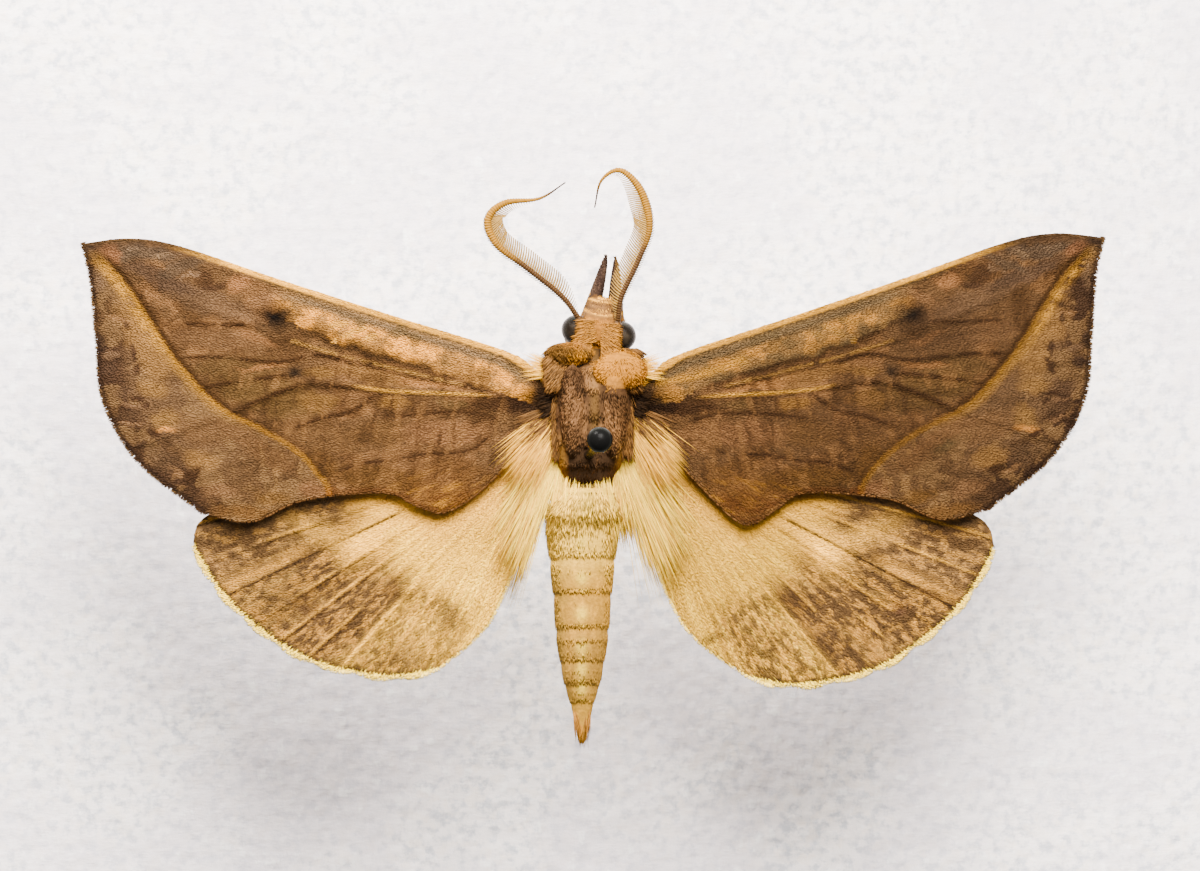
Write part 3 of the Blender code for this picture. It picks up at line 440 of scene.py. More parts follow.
def between(rows, place):
    """The other columns of a table at a place in its first column."""
    table = np.array(sorted(rows), float)
    return [np.interp(place, table[:, 0], table[:, i]) for i in range(1, table.shape[1])]


def body_lean(y):
    return between(BODY_LEAN, y)[0]


def unit(vectors):
    return vectors / np.maximum(np.linalg.norm(vectors, axis=1), 1e-9)[:, None]


# Colours

def paint(red, green, blue):
    """The surface colour that shows as these screen values, 0 to 255, under the studio's light."""
    value = np.array([red, green, blue]) / 255.0
    linear = np.where(value <= 0.04045, value / 12.92, ((value + 0.055) / 1.055) ** 2.4)
    mixed = SCREEN_MIX @ linear
    light = LIGHT_MIX @ np.exp2(np.polyval(FILM_CURVE, mixed ** (1 / 2.2)))
    surface = np.maximum(light / LIGHT_LEVEL, 0.0)
    surface *= min(1.0, PALEST / surface.max())
    depth = min(surface.max(), 0.5)
    surface *= (1.0, 1.0 + LIVELY_GREEN * depth, CALM_BLUE)
    return np.maximum(surface, linear * LEAST_SHARE)


class Layers:
    """The colours of many places, painted over one another."""

    def __init__(self, count, ground):
        self.rgb = np.tile(paint(*ground), (count, 1))

    def over(self, colour, share):
        self.rgb += (paint(*colour) - self.rgb) * np.clip(share, 0, 1)[:, None]

    def patches(self, rows, places, cover):
        """Paints a table of patches; cover turns the distance from a patch's middle into a share."""
        for x, y, length, width, degrees, *colour, strength in rows:
            self.over(colour, cover(patch(places, (x, y), (length, width), degrees)) * strength)

    def shade(self, factor):
        self.rgb *= np.reshape(factor, (-1, 1))


def rgba(*screen):
    return (*paint(*screen), 1)


def patch(places, middle, size, degrees):
    """Distance from a patch's middle, 1 at its rim; degrees turn its length upward towards the tip."""
    turn = math.radians(degrees)
    x, y = (places - middle).T
    along = x * math.cos(turn) + y * math.sin(turn)
    across = -x * math.sin(turn) + y * math.cos(turn)
    return np.hypot(along / size[0], across / size[1])


def blot(places, x, y, length, width, degrees, spread=1.0):
    """The share of a soft-edged patch."""
    return soft(patch(places, (x, y), (length, width), degrees), spread)


def forewing_colours(places, side):
    """The upper side of the forewing."""
    x, y = places.T
    seed = 11 if side == "left" else 29
    reach, angle = polar(places, FORE_ROOT)
    blotch = cloud(places, 1.5, seed)
    fleck = cloud(places, 0.32, seed + 3)
    streak = grain(reach / 1.4, angle * 60, seed + 5)
    wander = (cloud(places, 0.5, seed + 7) - 0.5) * 0.1
    drift = shifts(places, 0.7, seed + 61, seed + 67)
    ragged = shifts(places, 0.2, seed + 63, seed + 69)
    moved = places + drift * 0.5 + ragged * 0.16

    costa = curve_gap(places, FORE_COSTA, 1.2)
    outer = curve_gap(places, FORE_OUTER, 0.8)
    line, line_side, line_along = line_distance(places, smooth_line(OBLIQUE_LINE, 0.5))
    beyond = line * line_side + wander

    tone = Layers(len(places), (148, 105, 68))
    tone.over((180, 134, 94), step(cloud(moved, 1.1, seed + 2), 0.5, 0.62) * 0.65)
    tone.over((110, 72, 40), step(cloud(moved, 1.2, seed + 4), 0.46, 0.34) * 0.65)
    tone.patches(FORE_PATCHES, moved, lambda gap: step(gap, 1.3, 0.6))

    # The field behind the front edge: grey, with golden patches near the root
    stripe, stripe_side, along = line_distance(moved, smooth_line(DARK_STRIPE, 0.8))
    width = 0.44 - 0.26 * along
    field = step(x, 14.6, 12.6) * step(stripe * stripe_side, 0.04, -0.12) * step(x, 2.3, 3.4)
    tone.over((204, 162, 116), field * 0.95)
    golden = step(cloud(moved, 0.8, seed + 9), 0.46, 0.56) * step(costa, 0.6, 0.9)
    tone.over((234, 194, 138), field * golden * 0.85)
    tone.over((168, 142, 118), field * soft(costa - 0.6, 0.26) * 0.85)
    tone.over((150, 118, 78), field * step(cloud(moved, 0.5, seed + 12), 0.44, 0.34) * 0.6)
    tone.over((100, 66, 34), soft(stripe / width, 1.0) * step(along, 1.0, 0.85) * 0.95)
    tone.over((70, 44, 22), soft(stripe / width, 0.45) * step(fleck, 0.35, 0.6) * 0.6)
    radius = curve_gap(places, RADIUS_VEIN, 0.8)
    tone.over((196, 156, 104), soft(radius + wander, 0.075) * step(fleck, 0.2, 0.5) * 0.85)
    tone.over((112, 68, 36), soft(radius - 0.16, 0.07) * (y < 3.6) * 0.4)

    for i, vein in enumerate(FORE_VEINS):
        distance, _, along = line_distance(places, smooth_line(vein, 0.6))
        broken = step(cloud(places, 0.7, seed + 20 + i), 0.25, 0.45)
        ends = step(along, 0.0, 0.08) * step(along, 1.0, 0.92)
        tone.over((66, 38, 18), soft(distance + wander * 0.4, 0.08) * broken * ends * 0.98)
        tone.over((120, 78, 42), soft(distance, 0.2) * broken * ends * 0.35)
    cross = grain(x * 2.8 + y * 0.6, y * 0.8, seed + 73)
    behind = step(y, 3.4, 2.4) * step(x, 3.2, 4.4)
    tone.over((98, 64, 36), step(cross, 0.4, 0.3) * behind * 0.5)
    tone.over((184, 140, 98), step(cross, 0.62, 0.74) * behind * 0.4)
    for ends in RUNGS:
        distance, _, _ = line_distance(places + drift * 0.2, np.reshape(ends, (2, 2)))
        tone.over((104, 66, 34), soft(distance, 0.06) * step(fleck, 0.2, 0.45) * 0.7)
    cubitus, _, along = line_distance(places, smooth_line(CUBITUS_PALE, 0.8))
    tone.over((218, 180, 124), soft(cubitus, 0.065) * step(along, 0.0, 0.15) * step(along, 1.0, 0.8) * 0.9)

    # The rusty lobe of the rear edge, and a darker rear border
    inner = curve_gap(places, FORE_INNER, 0.8)
    lobe = blot(places, 6.5, -2.95, 1.9, 0.95, 0)
    hairlines = grain((x * 0.45 + y) * 6, (x - y * 0.45) * 1.1, seed + 71)
    tone.over((172, 116, 52), lobe * 0.9)
    tone.over((208, 162, 98), lobe * step(hairlines, 0.58, 0.75) * 0.8)
    tone.over((120, 68, 28), lobe * step(hairlines, 0.45, 0.25) * 0.7)
    tone.over((128, 72, 28), soft(inner - 0.22, 0.12) * step(x, 11.8, 10.8) * step(x, 5.0, 6.0) * 0.7)
    tone.over((112, 74, 42), soft(inner - 0.3, 0.2) * step(x, 12.4, 13.2) * 0.5)

    # Beyond the oblique line
    past = step(beyond, -0.05, 0.1)
    tone.over((146, 107, 76), past * 0.95)
    tone.over((86, 58, 42), past * step(outer, 1.8, 1.0) * 0.9)
    tone.over((138, 96, 58), past * step(line_along, 0.55, 0.75) * 0.6)
    tone.over((176, 138, 100), past * step(cloud(moved, 0.9, seed + 13), 0.5, 0.58) * 0.6)
    smudges = step(cloud(moved, 0.6, seed + 14), 0.42, 0.32)
    tone.over((96, 64, 42), past * smudges * step(outer, 2.4, 1.0) * 0.6)
    tone.patches(OUTER_PATCHES, moved, lambda gap: past * step(gap, 1.4, 0.5))
    ripple = soft(np.abs(np.sin(line_along * 40 + blotch * 3.0)), 0.16) * step(line_along, 0.62, 0.75)
    tone.over((108, 74, 46), past * ripple * step(fleck, 0.3, 0.55) * 0.6)
    dashes = grain(x * 3.6, y * 1.3, seed + 75)
    tone.over((190, 152, 112), past * step(line_along, 0.6, 0.8) * step(dashes, 0.62, 0.76) * 0.4)
    tone.over((62, 40, 28), soft(outer - 0.3, 0.1) * step(x, 12.6, 14.0) * 0.85)

    # The line itself: dark on the body's side, golden, then pale
    full = step(line_along, 0.0, 0.1)
    low = step(line_along, 0.5, 0.72)
    tone.over((84, 52, 22), soft(beyond + 0.2, 0.15) * full * (1 - low * 0.4) * 0.95)
    high = step(line_along, 0.42, 0.25)
    tone.over((212, 172, 114), soft(beyond - 0.24, 0.2) * full * high * step(fleck, 0.2, 0.5) * 0.85)
    tone.over((196, 154, 98), soft(beyond - 0.2, 0.16) * full * (1 - high) * (1 - low) * 0.7)
    tone.over((202, 156, 76), soft(beyond - 0.02, 0.09) * full * 0.95)
    tone.over((176, 122, 50), soft(beyond - 0.02, 0.08) * low * 0.85)
    tone.over((182, 104, 40), soft(beyond - 0.02, 0.16) * step(line_along, 0.93, 0.98) * 0.95)

    # The dark spots, and the cream patch
    spot = patch(places + drift * 0.3, (14.25, 5.3), (0.52, 0.42), 0)
    tone.over((88, 60, 38), blot(moved, 14.0, 5.25, 0.8, 0.5, -10, 0.9) * 0.7)
    tone.over((16, 11, 10), soft(spot, 1.15) * 0.99)
    tone.over((54, 40, 30), soft(patch(places + drift * 0.15, (13.22, 2.78), (0.36, 0.28), 0), 1.0) * 0.97)
    strength = 0.95 if side == "left" else 0.5
    for middle, size, degrees in CREAM_SPECKS:
        speck = patch(places + drift * 0.25, middle, size, degrees)
        tone.over((218, 180, 132), step(speck, 1.15, 0.75) * strength)
    if side == "right":
        tone.over((148, 120, 86), field * 0.55)
        tone.over((134, 92, 46), soft(beyond - 0.02, 0.12) * full * 0.5)
        # Painted shade: the right wing's middle darkened further, as that wing lies in less light
        tone.over((96, 64, 42), (1 - past) * blot(moved, 12.4, 0.9, 3.2, 1.3, 10) * 0.5)
        tone.over((100, 70, 48), (1 - past) * blot(moved, 15.6, 4.3, 2.8, 1.1, 14) * 0.6)
        gold = curve_gap(moved, [(2.9, 2.5), (4.4, 2.75), (6.6, 3.3)], 0.5)
        tone.over((214, 174, 118), soft(gold, 0.18) * 0.85)
        tone.over((40, 28, 30), past * blot(moved, 20.9, 5.5, 0.35, 0.25, 0, 0.9) * 0.8)
        tone.over((84, 70, 44), past * blot(moved, 15.5, -0.6, 0.7, 0.3, 20, 0.9) * 0.7)

    # The root, painted near black as the shade of the pit beside the thorax, and the golden front edge with
    # a dark line behind it
    tone.over((26, 16, 10), blot(moved, 2.0, 1.35, 0.62, 0.75, 0) * 0.98)
    tone.over((46, 28, 16), blot(moved, 2.6, 1.4, 1.2, 0.7, 0) * 0.75)
    rim = step(x, 19.5, 15.5)
    tone.over((104, 78, 44), soft(costa - 0.34, 0.08) * step(x, 17.0, 14.0) * 0.8)
    tone.over((88, 64, 50), step(costa, 0.7, 0.25) * step(x, 17.5, 19.5) * 0.55)
    tone.over((232, 196, 118), step(costa, 0.31, 0.2) * rim * 0.97)
    tone.over((120, 84, 50), step(costa, 0.2, 0.08) * step(x, 16.0, 19.0) * 0.85)

    tone.shade(0.72 + 0.56 * streak)
    tone.shade(0.82 + 0.36 * fleck)
    # Dimmed by side: an overall tone, and painted shade on the right wing, which lies in less light
    tone.shade(FORE_TONE_AND_SHADE[side])
    return tone.rgb


def forewing_under_colours(places, _):
    """The paler lower side of the forewing, which has only a trace of the markings."""
    x, y = places.T
    reach, angle = polar(places, FORE_ROOT)
    streak = grain(reach / 2.0, angle * 60, 71)
    costa = curve_gap(places, FORE_COSTA, 1.2)
    outer = curve_gap(places, FORE_OUTER, 0.8)
    line, line_side, _ = line_distance(places, smooth_line(OBLIQUE_LINE, 0.8))
    inner = curve_gap(places, FORE_INNER, 0.8)
    tone = Layers(len(places), (180, 148, 112))
    tone.over((216, 190, 146), step(y, 1.0, -2.2) * 0.7)
    tone.over((196, 162, 112), step(costa, 0.9, 0.2) * 0.7)
    tone.over((142, 110, 84), step(outer, 3.4, 1.0) * 0.7)
    tone.over((132, 100, 72), soft(line * line_side - 0.6, 0.35) * 0.5)
    tone.over((110, 84, 62), soft(np.hypot(x - 14.2, y - 4.6), 0.6) * 0.5)
    tone.over((112, 80, 54), step(np.minimum(inner, outer), 0.8, 0.5) * 0.9)
    tone.shade(0.84 + 0.32 * streak)
    return tone.rgb


def hindwing_polar(places):
    reach, angle = polar(places, HIND_ROOT)
    return reach, np.degrees(angle)


def hindwing_colours(places, side):
    """The upper side of the hindwing: straw at the root, freckled with brown towards the edge."""
    y = places[:, 1]
    seed = 101 if side == "left" else 131
    reach, degrees = hindwing_polar(places)
    degrees = degrees + HIND_SWING[side]
    fine = grain(reach / 2.4, degrees * 1.9, seed + 3)
    freckle = grain(reach / 0.36, degrees / 0.95, seed + 5, 3)
    blotch = grain(reach / 2.2, degrees / 5.0, seed + 6)
    drift = shifts(places, 0.7, seed + 8, seed + 9)
    moved = places + drift * 0.5
    outer, _, _ = line_distance(places, smooth_line(HIND_OUTER, 0.8) * (1, HIND_REACH[side]))

    tone = Layers(len(places), (232, 204, 146))
    tone.over((246, 226, 176), step(fine, 0.5, 0.8) * 0.6)
    tone.over((212, 178, 120), step(fine, 0.46, 0.22) * 0.5)

    # The brown part, and its freckles in rows along the veins
    brown = step(degrees, -51.0, -45.0) * step(reach, 7.4, 9.8)
    rear = step(degrees, -45.0, -51.0) * step(degrees, -72.0, -62.0) * step(reach, 7.4, 8.8)
    tone.over((178, 136, 90), np.maximum(brown, rear * 0.4) * 0.9)
    tone.over((138, 100, 64), np.maximum(brown, rear * 0.35) * step(blotch, 0.36, 0.56) * 0.85)
    brown = np.maximum(brown, rear * 0.8)
    dense = 0.5 - 0.08 * step(blotch, 0.4, 0.62)
    tone.over((114, 80, 50), brown * step(freckle, dense, dense + 0.12) * 0.7)
    tone.over((208, 168, 118), brown * step(freckle, 0.44, 0.36) * 0.75)
    tone.over((128, 92, 58), rear * step(freckle, 0.45, 0.56) * 0.6)
    speck = grain(reach / 0.3, degrees / 0.55, seed + 12)
    tone.over((100, 70, 44), brown * step(speck, 0.58, 0.7) * 0.55)
    tone.over((214, 176, 128), brown * step(speck, 0.4, 0.3) * 0.4)
    front = step(degrees, -24.0, -20.5) * step(reach, 8.4, 10.6)
    tone.over((158, 119, 80), front * 0.85)
    tone.over((112, 78, 48), front * step(freckle, 0.48, 0.6) * 0.75)
    tone.over((204, 166, 120), front * step(freckle, 0.43, 0.35) * 0.7)
    # Below the forewing's rear edge: a broad lighter band, painted light that offsets the shade falling
    # there, and a narrow dark band, the forewing's painted shadow
    lid = curve_gap(places, FORE_INNER, 0.8)
    tone.over((246, 218, 176), (1 - np.maximum(brown, front)) * soft(lid, 1.1) * 0.85)
    tone.over((138, 106, 84), soft(lid, 0.3) * 0.6)

    # A cream ray behind the front edge, split by a dark vein
    cream = soft(degrees + 25.5 + (reach - 7.0) * 1.2, 4.2) * step(reach, 5.4, 6.4) * step(reach, 11.0, 9.0)
    tone.over((250, 224, 178), cream * 0.96)
    tone.over((214, 176, 128), soft((degrees + 24.0) / 1.1, 1.0) * step(reach, 11.0, 12.0) * 0.5)
    # Each vein in the brown part as painted relief: a dark line, partly the vein's own colour and partly
    # painted shade on one side of its ridge, and a pale painted highlight on the other side
    for i, vein in enumerate(HIND_VEIN_ANGLES):
        distance = np.radians(degrees - vein) * reach
        worn = step(cloud(np.column_stack([reach, reach * 0]), 1.3, seed + 30 + i), 0.3, 0.5)
        strength = np.maximum(brown, front) * 0.8 * worn
        tone.over((84, 56, 30), soft(distance + 0.05, 0.06) * strength)
        tone.over((232, 200, 148), soft(distance - 0.08, 0.06) * strength * 0.55)
    dark_vein = np.radians(degrees + 25.7) * reach
    tone.over((56, 36, 20), soft(dark_vein, 0.07) * step(reach, 6.6, 7.4) * 0.97)
    tone.over((150, 112, 74), soft(np.radians(degrees + 23.4) * reach, 0.09) * step(reach, 11.5, 13.5) * 0.7)
    ridge = np.radians(degrees + 48.0) * reach
    tone.over((246, 220, 172), soft(ridge, 0.06) * step(reach, 7.5, 8.6) * 0.85)

    # The patches include the forewing's painted shadow on the hindwing
    tone.patches(HIND_PATCHES[side], moved, lambda gap: soft(gap, 0.95))
    if side == "left":
        tone.over((242, 216, 166), blot(moved, 7.5, -9.0, 1.5, 1.1, 30) * 0.2)
        tone.over((116, 84, 58), blot(moved, 13.8, -7.2, 1.9, 1.3, -30) * 0.4)
    tone.over((250, 224, 178), blot(moved, 12.1, -4.4, 1.5, 0.5, 22) * 0.3)
    tone.over((92, 64, 36), soft(outer - 0.34, 0.08) * step(degrees, -68.0, -58.0) * 0.9)
    tone.over((244, 226, 176), step(outer, 0.3, 0.24) * step(y, -4.2, -5.0))
    tone.shade(0.86 + 0.28 * fine)
    tone.shade(0.94 + 0.12 * cloud(places, 0.25, seed + 11))
    # The straw part dimmed by side: an overall tone, and painted shade on the right hindwing
    tone.shade(1 - (1 - HIND_TONE_AND_SHADE[side]) * (1 - np.maximum(brown, front)))
    return tone.rgb


def hindwing_under_colours(places, _):
    reach, degrees = hindwing_polar(places)
    fine = grain(reach / 1.6, degrees * 2.6, 151)
    tone = Layers(len(places), (216, 192, 146))
    tone.over((186, 154, 116), step(reach, 9.0, 13.0) * 0.55)
    tone.over((152, 120, 88), soft(reach - 10.2, 0.3) * 0.5)
    tone.over((198, 164, 120), step(degrees, -26.0, -12.0) * 0.5)
    tone.over((240, 228, 184), step(reach, 15.0, 15.8) * 0.4)
    tone.shade(0.86 + 0.28 * fine)
    return tone.rgb


def thorax_colours(places):
    x, y, z = places.T
    blotch = cloud(places * (1.6, 0.7, 1.0), 0.9, 201)
    fleck = cloud(places * (2.4, 0.8, 1.0), 0.3, 205)
    tone = Layers(len(places), (112, 76, 49))
    tone.over((186, 142, 104), step(blotch, 0.5, 0.6) * 0.75)
    tone.over((88, 58, 38), step(blotch, 0.44, 0.34) * 0.75)
    tone.over((186, 136, 82), step(np.abs(x), 1.1, 1.5) * step(y, 2.2, 3.0) * 0.7)
    flat = places[:, :2]
    tone.over((182, 138, 104), blot(flat, -1.2, 1.5, 0.7, 1.6, 0) * step(fleck, 0.25, 0.5) * 0.7)
    tone.over((186, 140, 100), blot(flat, 1.05, 0.1, 0.5, 1.5, 0) * 0.7)
    tone.over((188, 148, 92), soft(x - 0.05, 0.2) * step(y, -0.6, 0.6) * 0.35)
    rear = step(y, -0.1, -0.8) * step(y, -2.5, -1.9) * step(np.abs(x + 0.15), 1.35, 0.8)
    tone.over((96, 68, 48), rear * step(z, 26.0, 26.8) * step(fleck, 0.2, 0.45) * 0.9)
    # Painted shade: near-black pits where the wings meet the thorax
    pits = soft(np.hypot((np.abs(x) - 1.98) / 0.3, (y - 1.6) / 0.5), 0.95) * (z > 25.8)
    tone.over((24, 16, 10), pits * 0.97)
    tone.over((206, 166, 112), step(y, 0.4, -1.0) * step(np.abs(x + 0.1), 0.95, 1.35) * 0.8)
    tone.over((198, 166, 122), step(z, 25.4, 24.4) * 0.75)
    tone.shade(0.72 + 0.56 * fleck)
    return tone.rgb


def collar_colours(places):
    x, y, _ = places.T
    fleck = cloud(places, 0.25, 215)
    blotch = cloud(places, 0.5, 217)
    tone = Layers(len(places), (214, 166, 86))
    # The left flap darker in blotches: partly its own darker patches, partly painted shade on that flap
    tone.over((136, 96, 54), (x < 0) * step(blotch, 0.38, 0.54) * 0.8)
    tone.over((180, 128, 70), step(y, 2.7, 2.2) * (x > 0) * 0.6)
    tone.over((226, 180, 108), soft(y - 3.0, 0.45) * (x > 0) * 0.6)
    tone.over((172, 122, 64), soft(np.abs(np.sin(y * 7.5 + x)), 0.3) * 0.45)
    tone.shade(0.86 + 0.28 * fleck)
    return tone.rgb


def head_colours(places):
    local = to_head(places)
    x, y, z = local.T
    fleck = cloud(local, 0.22, 221)
    tone = Layers(len(places), (202, 150, 88))
    tone.over((224, 178, 114), step(fleck, 0.5, 0.75) * 0.6)
    tone.over((156, 110, 62), step(fleck, 0.4, 0.2) * 0.5)
    tone.over((174, 128, 84), step(y, 1.1, 1.6) * 0.9)
    for band in (1.55, 2.12):
        tone.over((240, 208, 156), soft(y - band - x * x * 0.25, 0.055) * 0.9)
        tone.over((124, 82, 52), soft(y - band - 0.16 - x * x * 0.25, 0.07) * 0.7)
    tone.over((120, 82, 56), soft(np.abs(x) - 0.5, 0.16) * step(y, 0.9, 0.5) * 0.3)
    tone.over((196, 158, 112), step(z, -0.2, -0.9) * 0.7)
    return tone.rgb


def palp_colours(places):
    local = to_head(places)
    x, y, z = local.T
    fleck = cloud(local * (2.0, 0.8, 1.0), 0.3, 231)
    tone = Layers(len(places), (92, 68, 62))
    tone.over((134, 102, 84), step(fleck, 0.45, 0.75) * 0.6)
    # Painted light: the right palp's outer side, yellower where light falls on it
    axis = np.interp(y, PALP_REACH, PALP_SPREAD)
    lit_side = step(x - PALP_MIDDLE - axis, -0.06, 0.08) * step(z, -1.2, -0.4)
    tone.over((196, 156, 98), lit_side * 0.9)
    tone.over((58, 42, 38), step(y, 3.2, 4.0) * 0.7)
    tone.over((204, 166, 118), step(y, 1.9, 1.2) * 0.6)
    tone.shade(0.85 + 0.3 * fleck)
    return tone.rgb


def abdomen_colours(places):
    x, y, z = places.T
    across = x - body_lean(y)
    fleck = cloud(places * (2.0, 0.8, 1.0), 0.35, 241)
    blotch = cloud(places, 1.2, 245)
    tone = Layers(len(places), (220, 186, 134))
    tone.over((238, 208, 158), step(fleck, 0.5, 0.8) * 0.6)
    tone.over((206, 176, 124), step(blotch, 0.5, 0.25) * 0.55)
    tone.over((198, 164, 116), step(y, -7.0, -10.0) * 0.5)
    tone.over((196, 168, 116), step(across, -0.5, -1.3) * 0.55)
    # Paler towards the front: partly its own cream, partly painted light that offsets the shade cast by the
    # thorax and its hairs
    tone.over((248, 228, 194), step(y, -7.0, -4.6) * 0.9)
    for ring in ABDOMEN_RINGS:
        tone.over((168, 136, 92), soft(y - ring + 0.04, 0.06) * soft(across - 0.1, 0.75) * 0.4)
        tone.over((240, 222, 182), soft(np.hypot(across + 0.02, (y - ring - 0.55) * 0.8), 0.24) * 0.8)
    tone.over((118, 88, 58), soft(np.hypot(across, (y + 2.75) * 1.6), 0.45) * 0.6)
    tone.over((222, 190, 136), step(y, -11.4, -12.2) * 0.8)
    tone.over((150, 106, 58), step(y, -13.4, -13.8) * 0.6)
    tone.over((206, 178, 132), step(z, 25.2, 24.4) * 0.5)
    tone.shade(0.88 + 0.24 * fleck)
    return tone.rgb


def leg_colours(places):
    z = places[:, 2]
    fleck = cloud(places, 0.3, 251)
    tone = Layers(len(places), (178, 142, 100))
    tone.over((112, 80, 56), step(fleck, 0.55, 0.75) * 0.75)
    tone.over((214, 184, 138), step(fleck, 0.42, 0.22) * 0.6)
    tone.over((196, 162, 116), step(z, 22.6, 24.0) * 0.7)
    return tone.rgb


STRAW = ((250, 236, 200), (242, 218, 176))
FAWN = ((246, 222, 172), (228, 194, 142))
# Near-black: painted shade of the pits where the wings meet the thorax
PIT_SHADE = ((84, 56, 34), (32, 21, 14))
UMBER = ((186, 140, 94), (128, 90, 56))
TAN = ((222, 180, 116), (184, 136, 82))
RUST = ((206, 158, 94), (176, 126, 70))
SHOULDER = ((188, 140, 88), (134, 94, 58))


# Node trees

def arithmetic(operation):
    """An operator's two forms: with the value on its left, and on its right."""
    return (
        lambda value, other: value.maths(operation, value, other),
        lambda value, other: value.maths(operation, other, value),
    )


class Value:
    """A socket of a node tree that takes part in arithmetic."""

    __add__, __radd__ = arithmetic("ADD")
    __sub__, __rsub__ = arithmetic("SUBTRACT")
    __mul__, __rmul__ = arithmetic("MULTIPLY")

    def __init__(self, graph, socket):
        self.graph = graph
        self.socket = socket

    def maths(self, operation, *inputs):
        return self.graph.add("ShaderNodeMath", {"operation": operation}, inputs)

    def sine(self):
        return self.maths("SINE", self)


class Graph:
    """A node tree, built node by node."""

    def __init__(self, tree):
        self.tree = tree

    def add(self, kind, settings=None, inputs=(), output=0):
        """Adds a node. inputs is a list, in socket order, or a dictionary by socket name or number."""
        node = self.tree.nodes.new(kind)
        for name, value in (settings or {}).items():
            setattr(node, name, value)
        pairs = inputs.items() if isinstance(inputs, dict) else enumerate(inputs)
        for key, value in pairs:
            self.feed(node.inputs[key], value)
        return Value(self, node.outputs[output])

    def feed(self, socket, value):
        if isinstance(value, Value):
            self.tree.links.new(value.socket, socket)
        else:
            socket.default_value = value

    def ramp(self, value, low, high, start=0.0, end=1.0):
        settings = {"interpolation_type": "SMOOTHSTEP", "clamp": True}
        return self.add("ShaderNodeMapRange", settings, [value, low, high, start, end])

    def blend(self, share, first, second):
        return self.add("ShaderNodeMix", {"data_type": "RGBA"}, {0: share, 6: first, 7: second}, output=2)

    def attribute(self, name, output="Color"):
        return self.add("ShaderNodeAttribute", {"attribute_name": name}, output=output)

    def scaled(self, vector, factor):
        return self.add("ShaderNodeVectorMath", {"operation": "SCALE"}, {"Vector": vector, "Scale": factor})

    def moved(self, vector, offset):
        return self.add("ShaderNodeVectorMath", {"operation": "ADD"}, [vector, offset])

    def facing(self, primary, along, secondary, towards):
        """A rotation that lays one axis along a way, and then another as near as it can to a second way."""
        axes = {"primary_axis": primary, "secondary_axis": secondary}
        return self.add("FunctionNodeAxesToRotation", axes, [along, towards])

    def store(self, geometry, name, kind, domain, value):
        settings = {"data_type": kind, "domain": domain}
        inputs = {"Geometry": geometry, "Name": name, "Value": value}
        return self.add("GeometryNodeStoreNamedAttribute", settings, inputs)

    def laid(self, points, shape, turn, size):
        """A real copy of the shape on each point."""
        inputs = {"Points": points, "Instance": shape, "Rotation": turn, "Scale": size}
        return self.real(self.add("GeometryNodeInstanceOnPoints", {}, inputs))

    def real(self, geometry):
        return self.add("GeometryNodeRealizeInstances", {}, [geometry])

    def finish(self, geometry, material):
        done = self.add("GeometryNodeSetMaterial", {}, {"Geometry": geometry, "Material": material})
        end = self.tree.nodes.new("NodeGroupOutput")
        self.tree.links.new(done.socket, end.inputs[0])


def new_tree(name, sockets):
    """A Geometry Nodes tree: its graph, and the values of its geometry and then of its other inputs."""
    tree = bpy.data.node_groups.new(name, "GeometryNodeTree")
    face = tree.interface
    face.new_socket("Geometry", in_out="INPUT", socket_type="NodeSocketGeometry")
    for title, kind in sockets:
        face.new_socket(title, in_out="INPUT", socket_type="NodeSocket" + kind)
    face.new_socket("Geometry", in_out="OUTPUT", socket_type="NodeSocketGeometry")
    graph = Graph(tree)
    group = tree.nodes.new("NodeGroupInput")
    return graph, [Value(graph, group.outputs[i]) for i in range(len(sockets) + 1)]


class Finish(Graph):
    """A Principled material."""

    def __init__(self, name, **shader):
        self.material = bpy.data.materials.new(name)
        self.material.use_nodes = True
        super().__init__(self.material.node_tree)
        self.shader = self.tree.nodes["Principled BSDF"]
        for key, value in shader.items():
            self.shader.inputs[key.replace("_", " ").title().replace("Ior", "IOR")].default_value = value
        self.place = self.add("ShaderNodeTexCoord", output="Object")

    def noise(self, scale, detail=2.0, roughness=0.55, stretch=None):
        place = self.place
        if stretch is not None:
            place = self.add("ShaderNodeMapping", inputs={"Vector": place, "Scale": stretch})
        settings = {"Vector": place, "Scale": scale, "Detail": detail, "Roughness": roughness}
        return self.add("ShaderNodeTexNoise", inputs=settings)

    def cells(self, scale, feature="F1"):
        inputs = {"Vector": self.place, "Scale": scale}
        return self.add("ShaderNodeTexVoronoi", {"feature": feature}, inputs, "Distance")

    def set(self, name, value):
        self.feed(self.shader.inputs[name], value)

    def tinted(self, strength):
        """Takes the painted tint as the colour, darkened where strength is below 1."""
        self.set("Base Color", self.blend(strength, (0, 0, 0, 1), self.attribute("tint")))

    def bump(self, height, strength, distance):
        inputs = {"Height": height, "Strength": strength, "Distance": distance}
        self.set("Normal", self.add("ShaderNodeBump", inputs=inputs))


def scale_finish():
    """Scales and hairs: the tint painted on each, darkened at its root as painted shade where it lies under
    its neighbours, and almost without gloss.
    """
    finish = Finish("moth_scales", roughness=0.6, specular_ior_level=0.02)
    along = finish.attribute("along", "Fac")
    fine = finish.noise(9000.0)
    finish.tinted(finish.ramp(along, 0.0, 0.7, 0.86, 1.0) * finish.ramp(fine, 0.3, 0.7, 0.85, 1.0))
    finish.set("Roughness", finish.ramp(fine, 0.3, 0.7, 0.5, 0.7))
    return finish.material


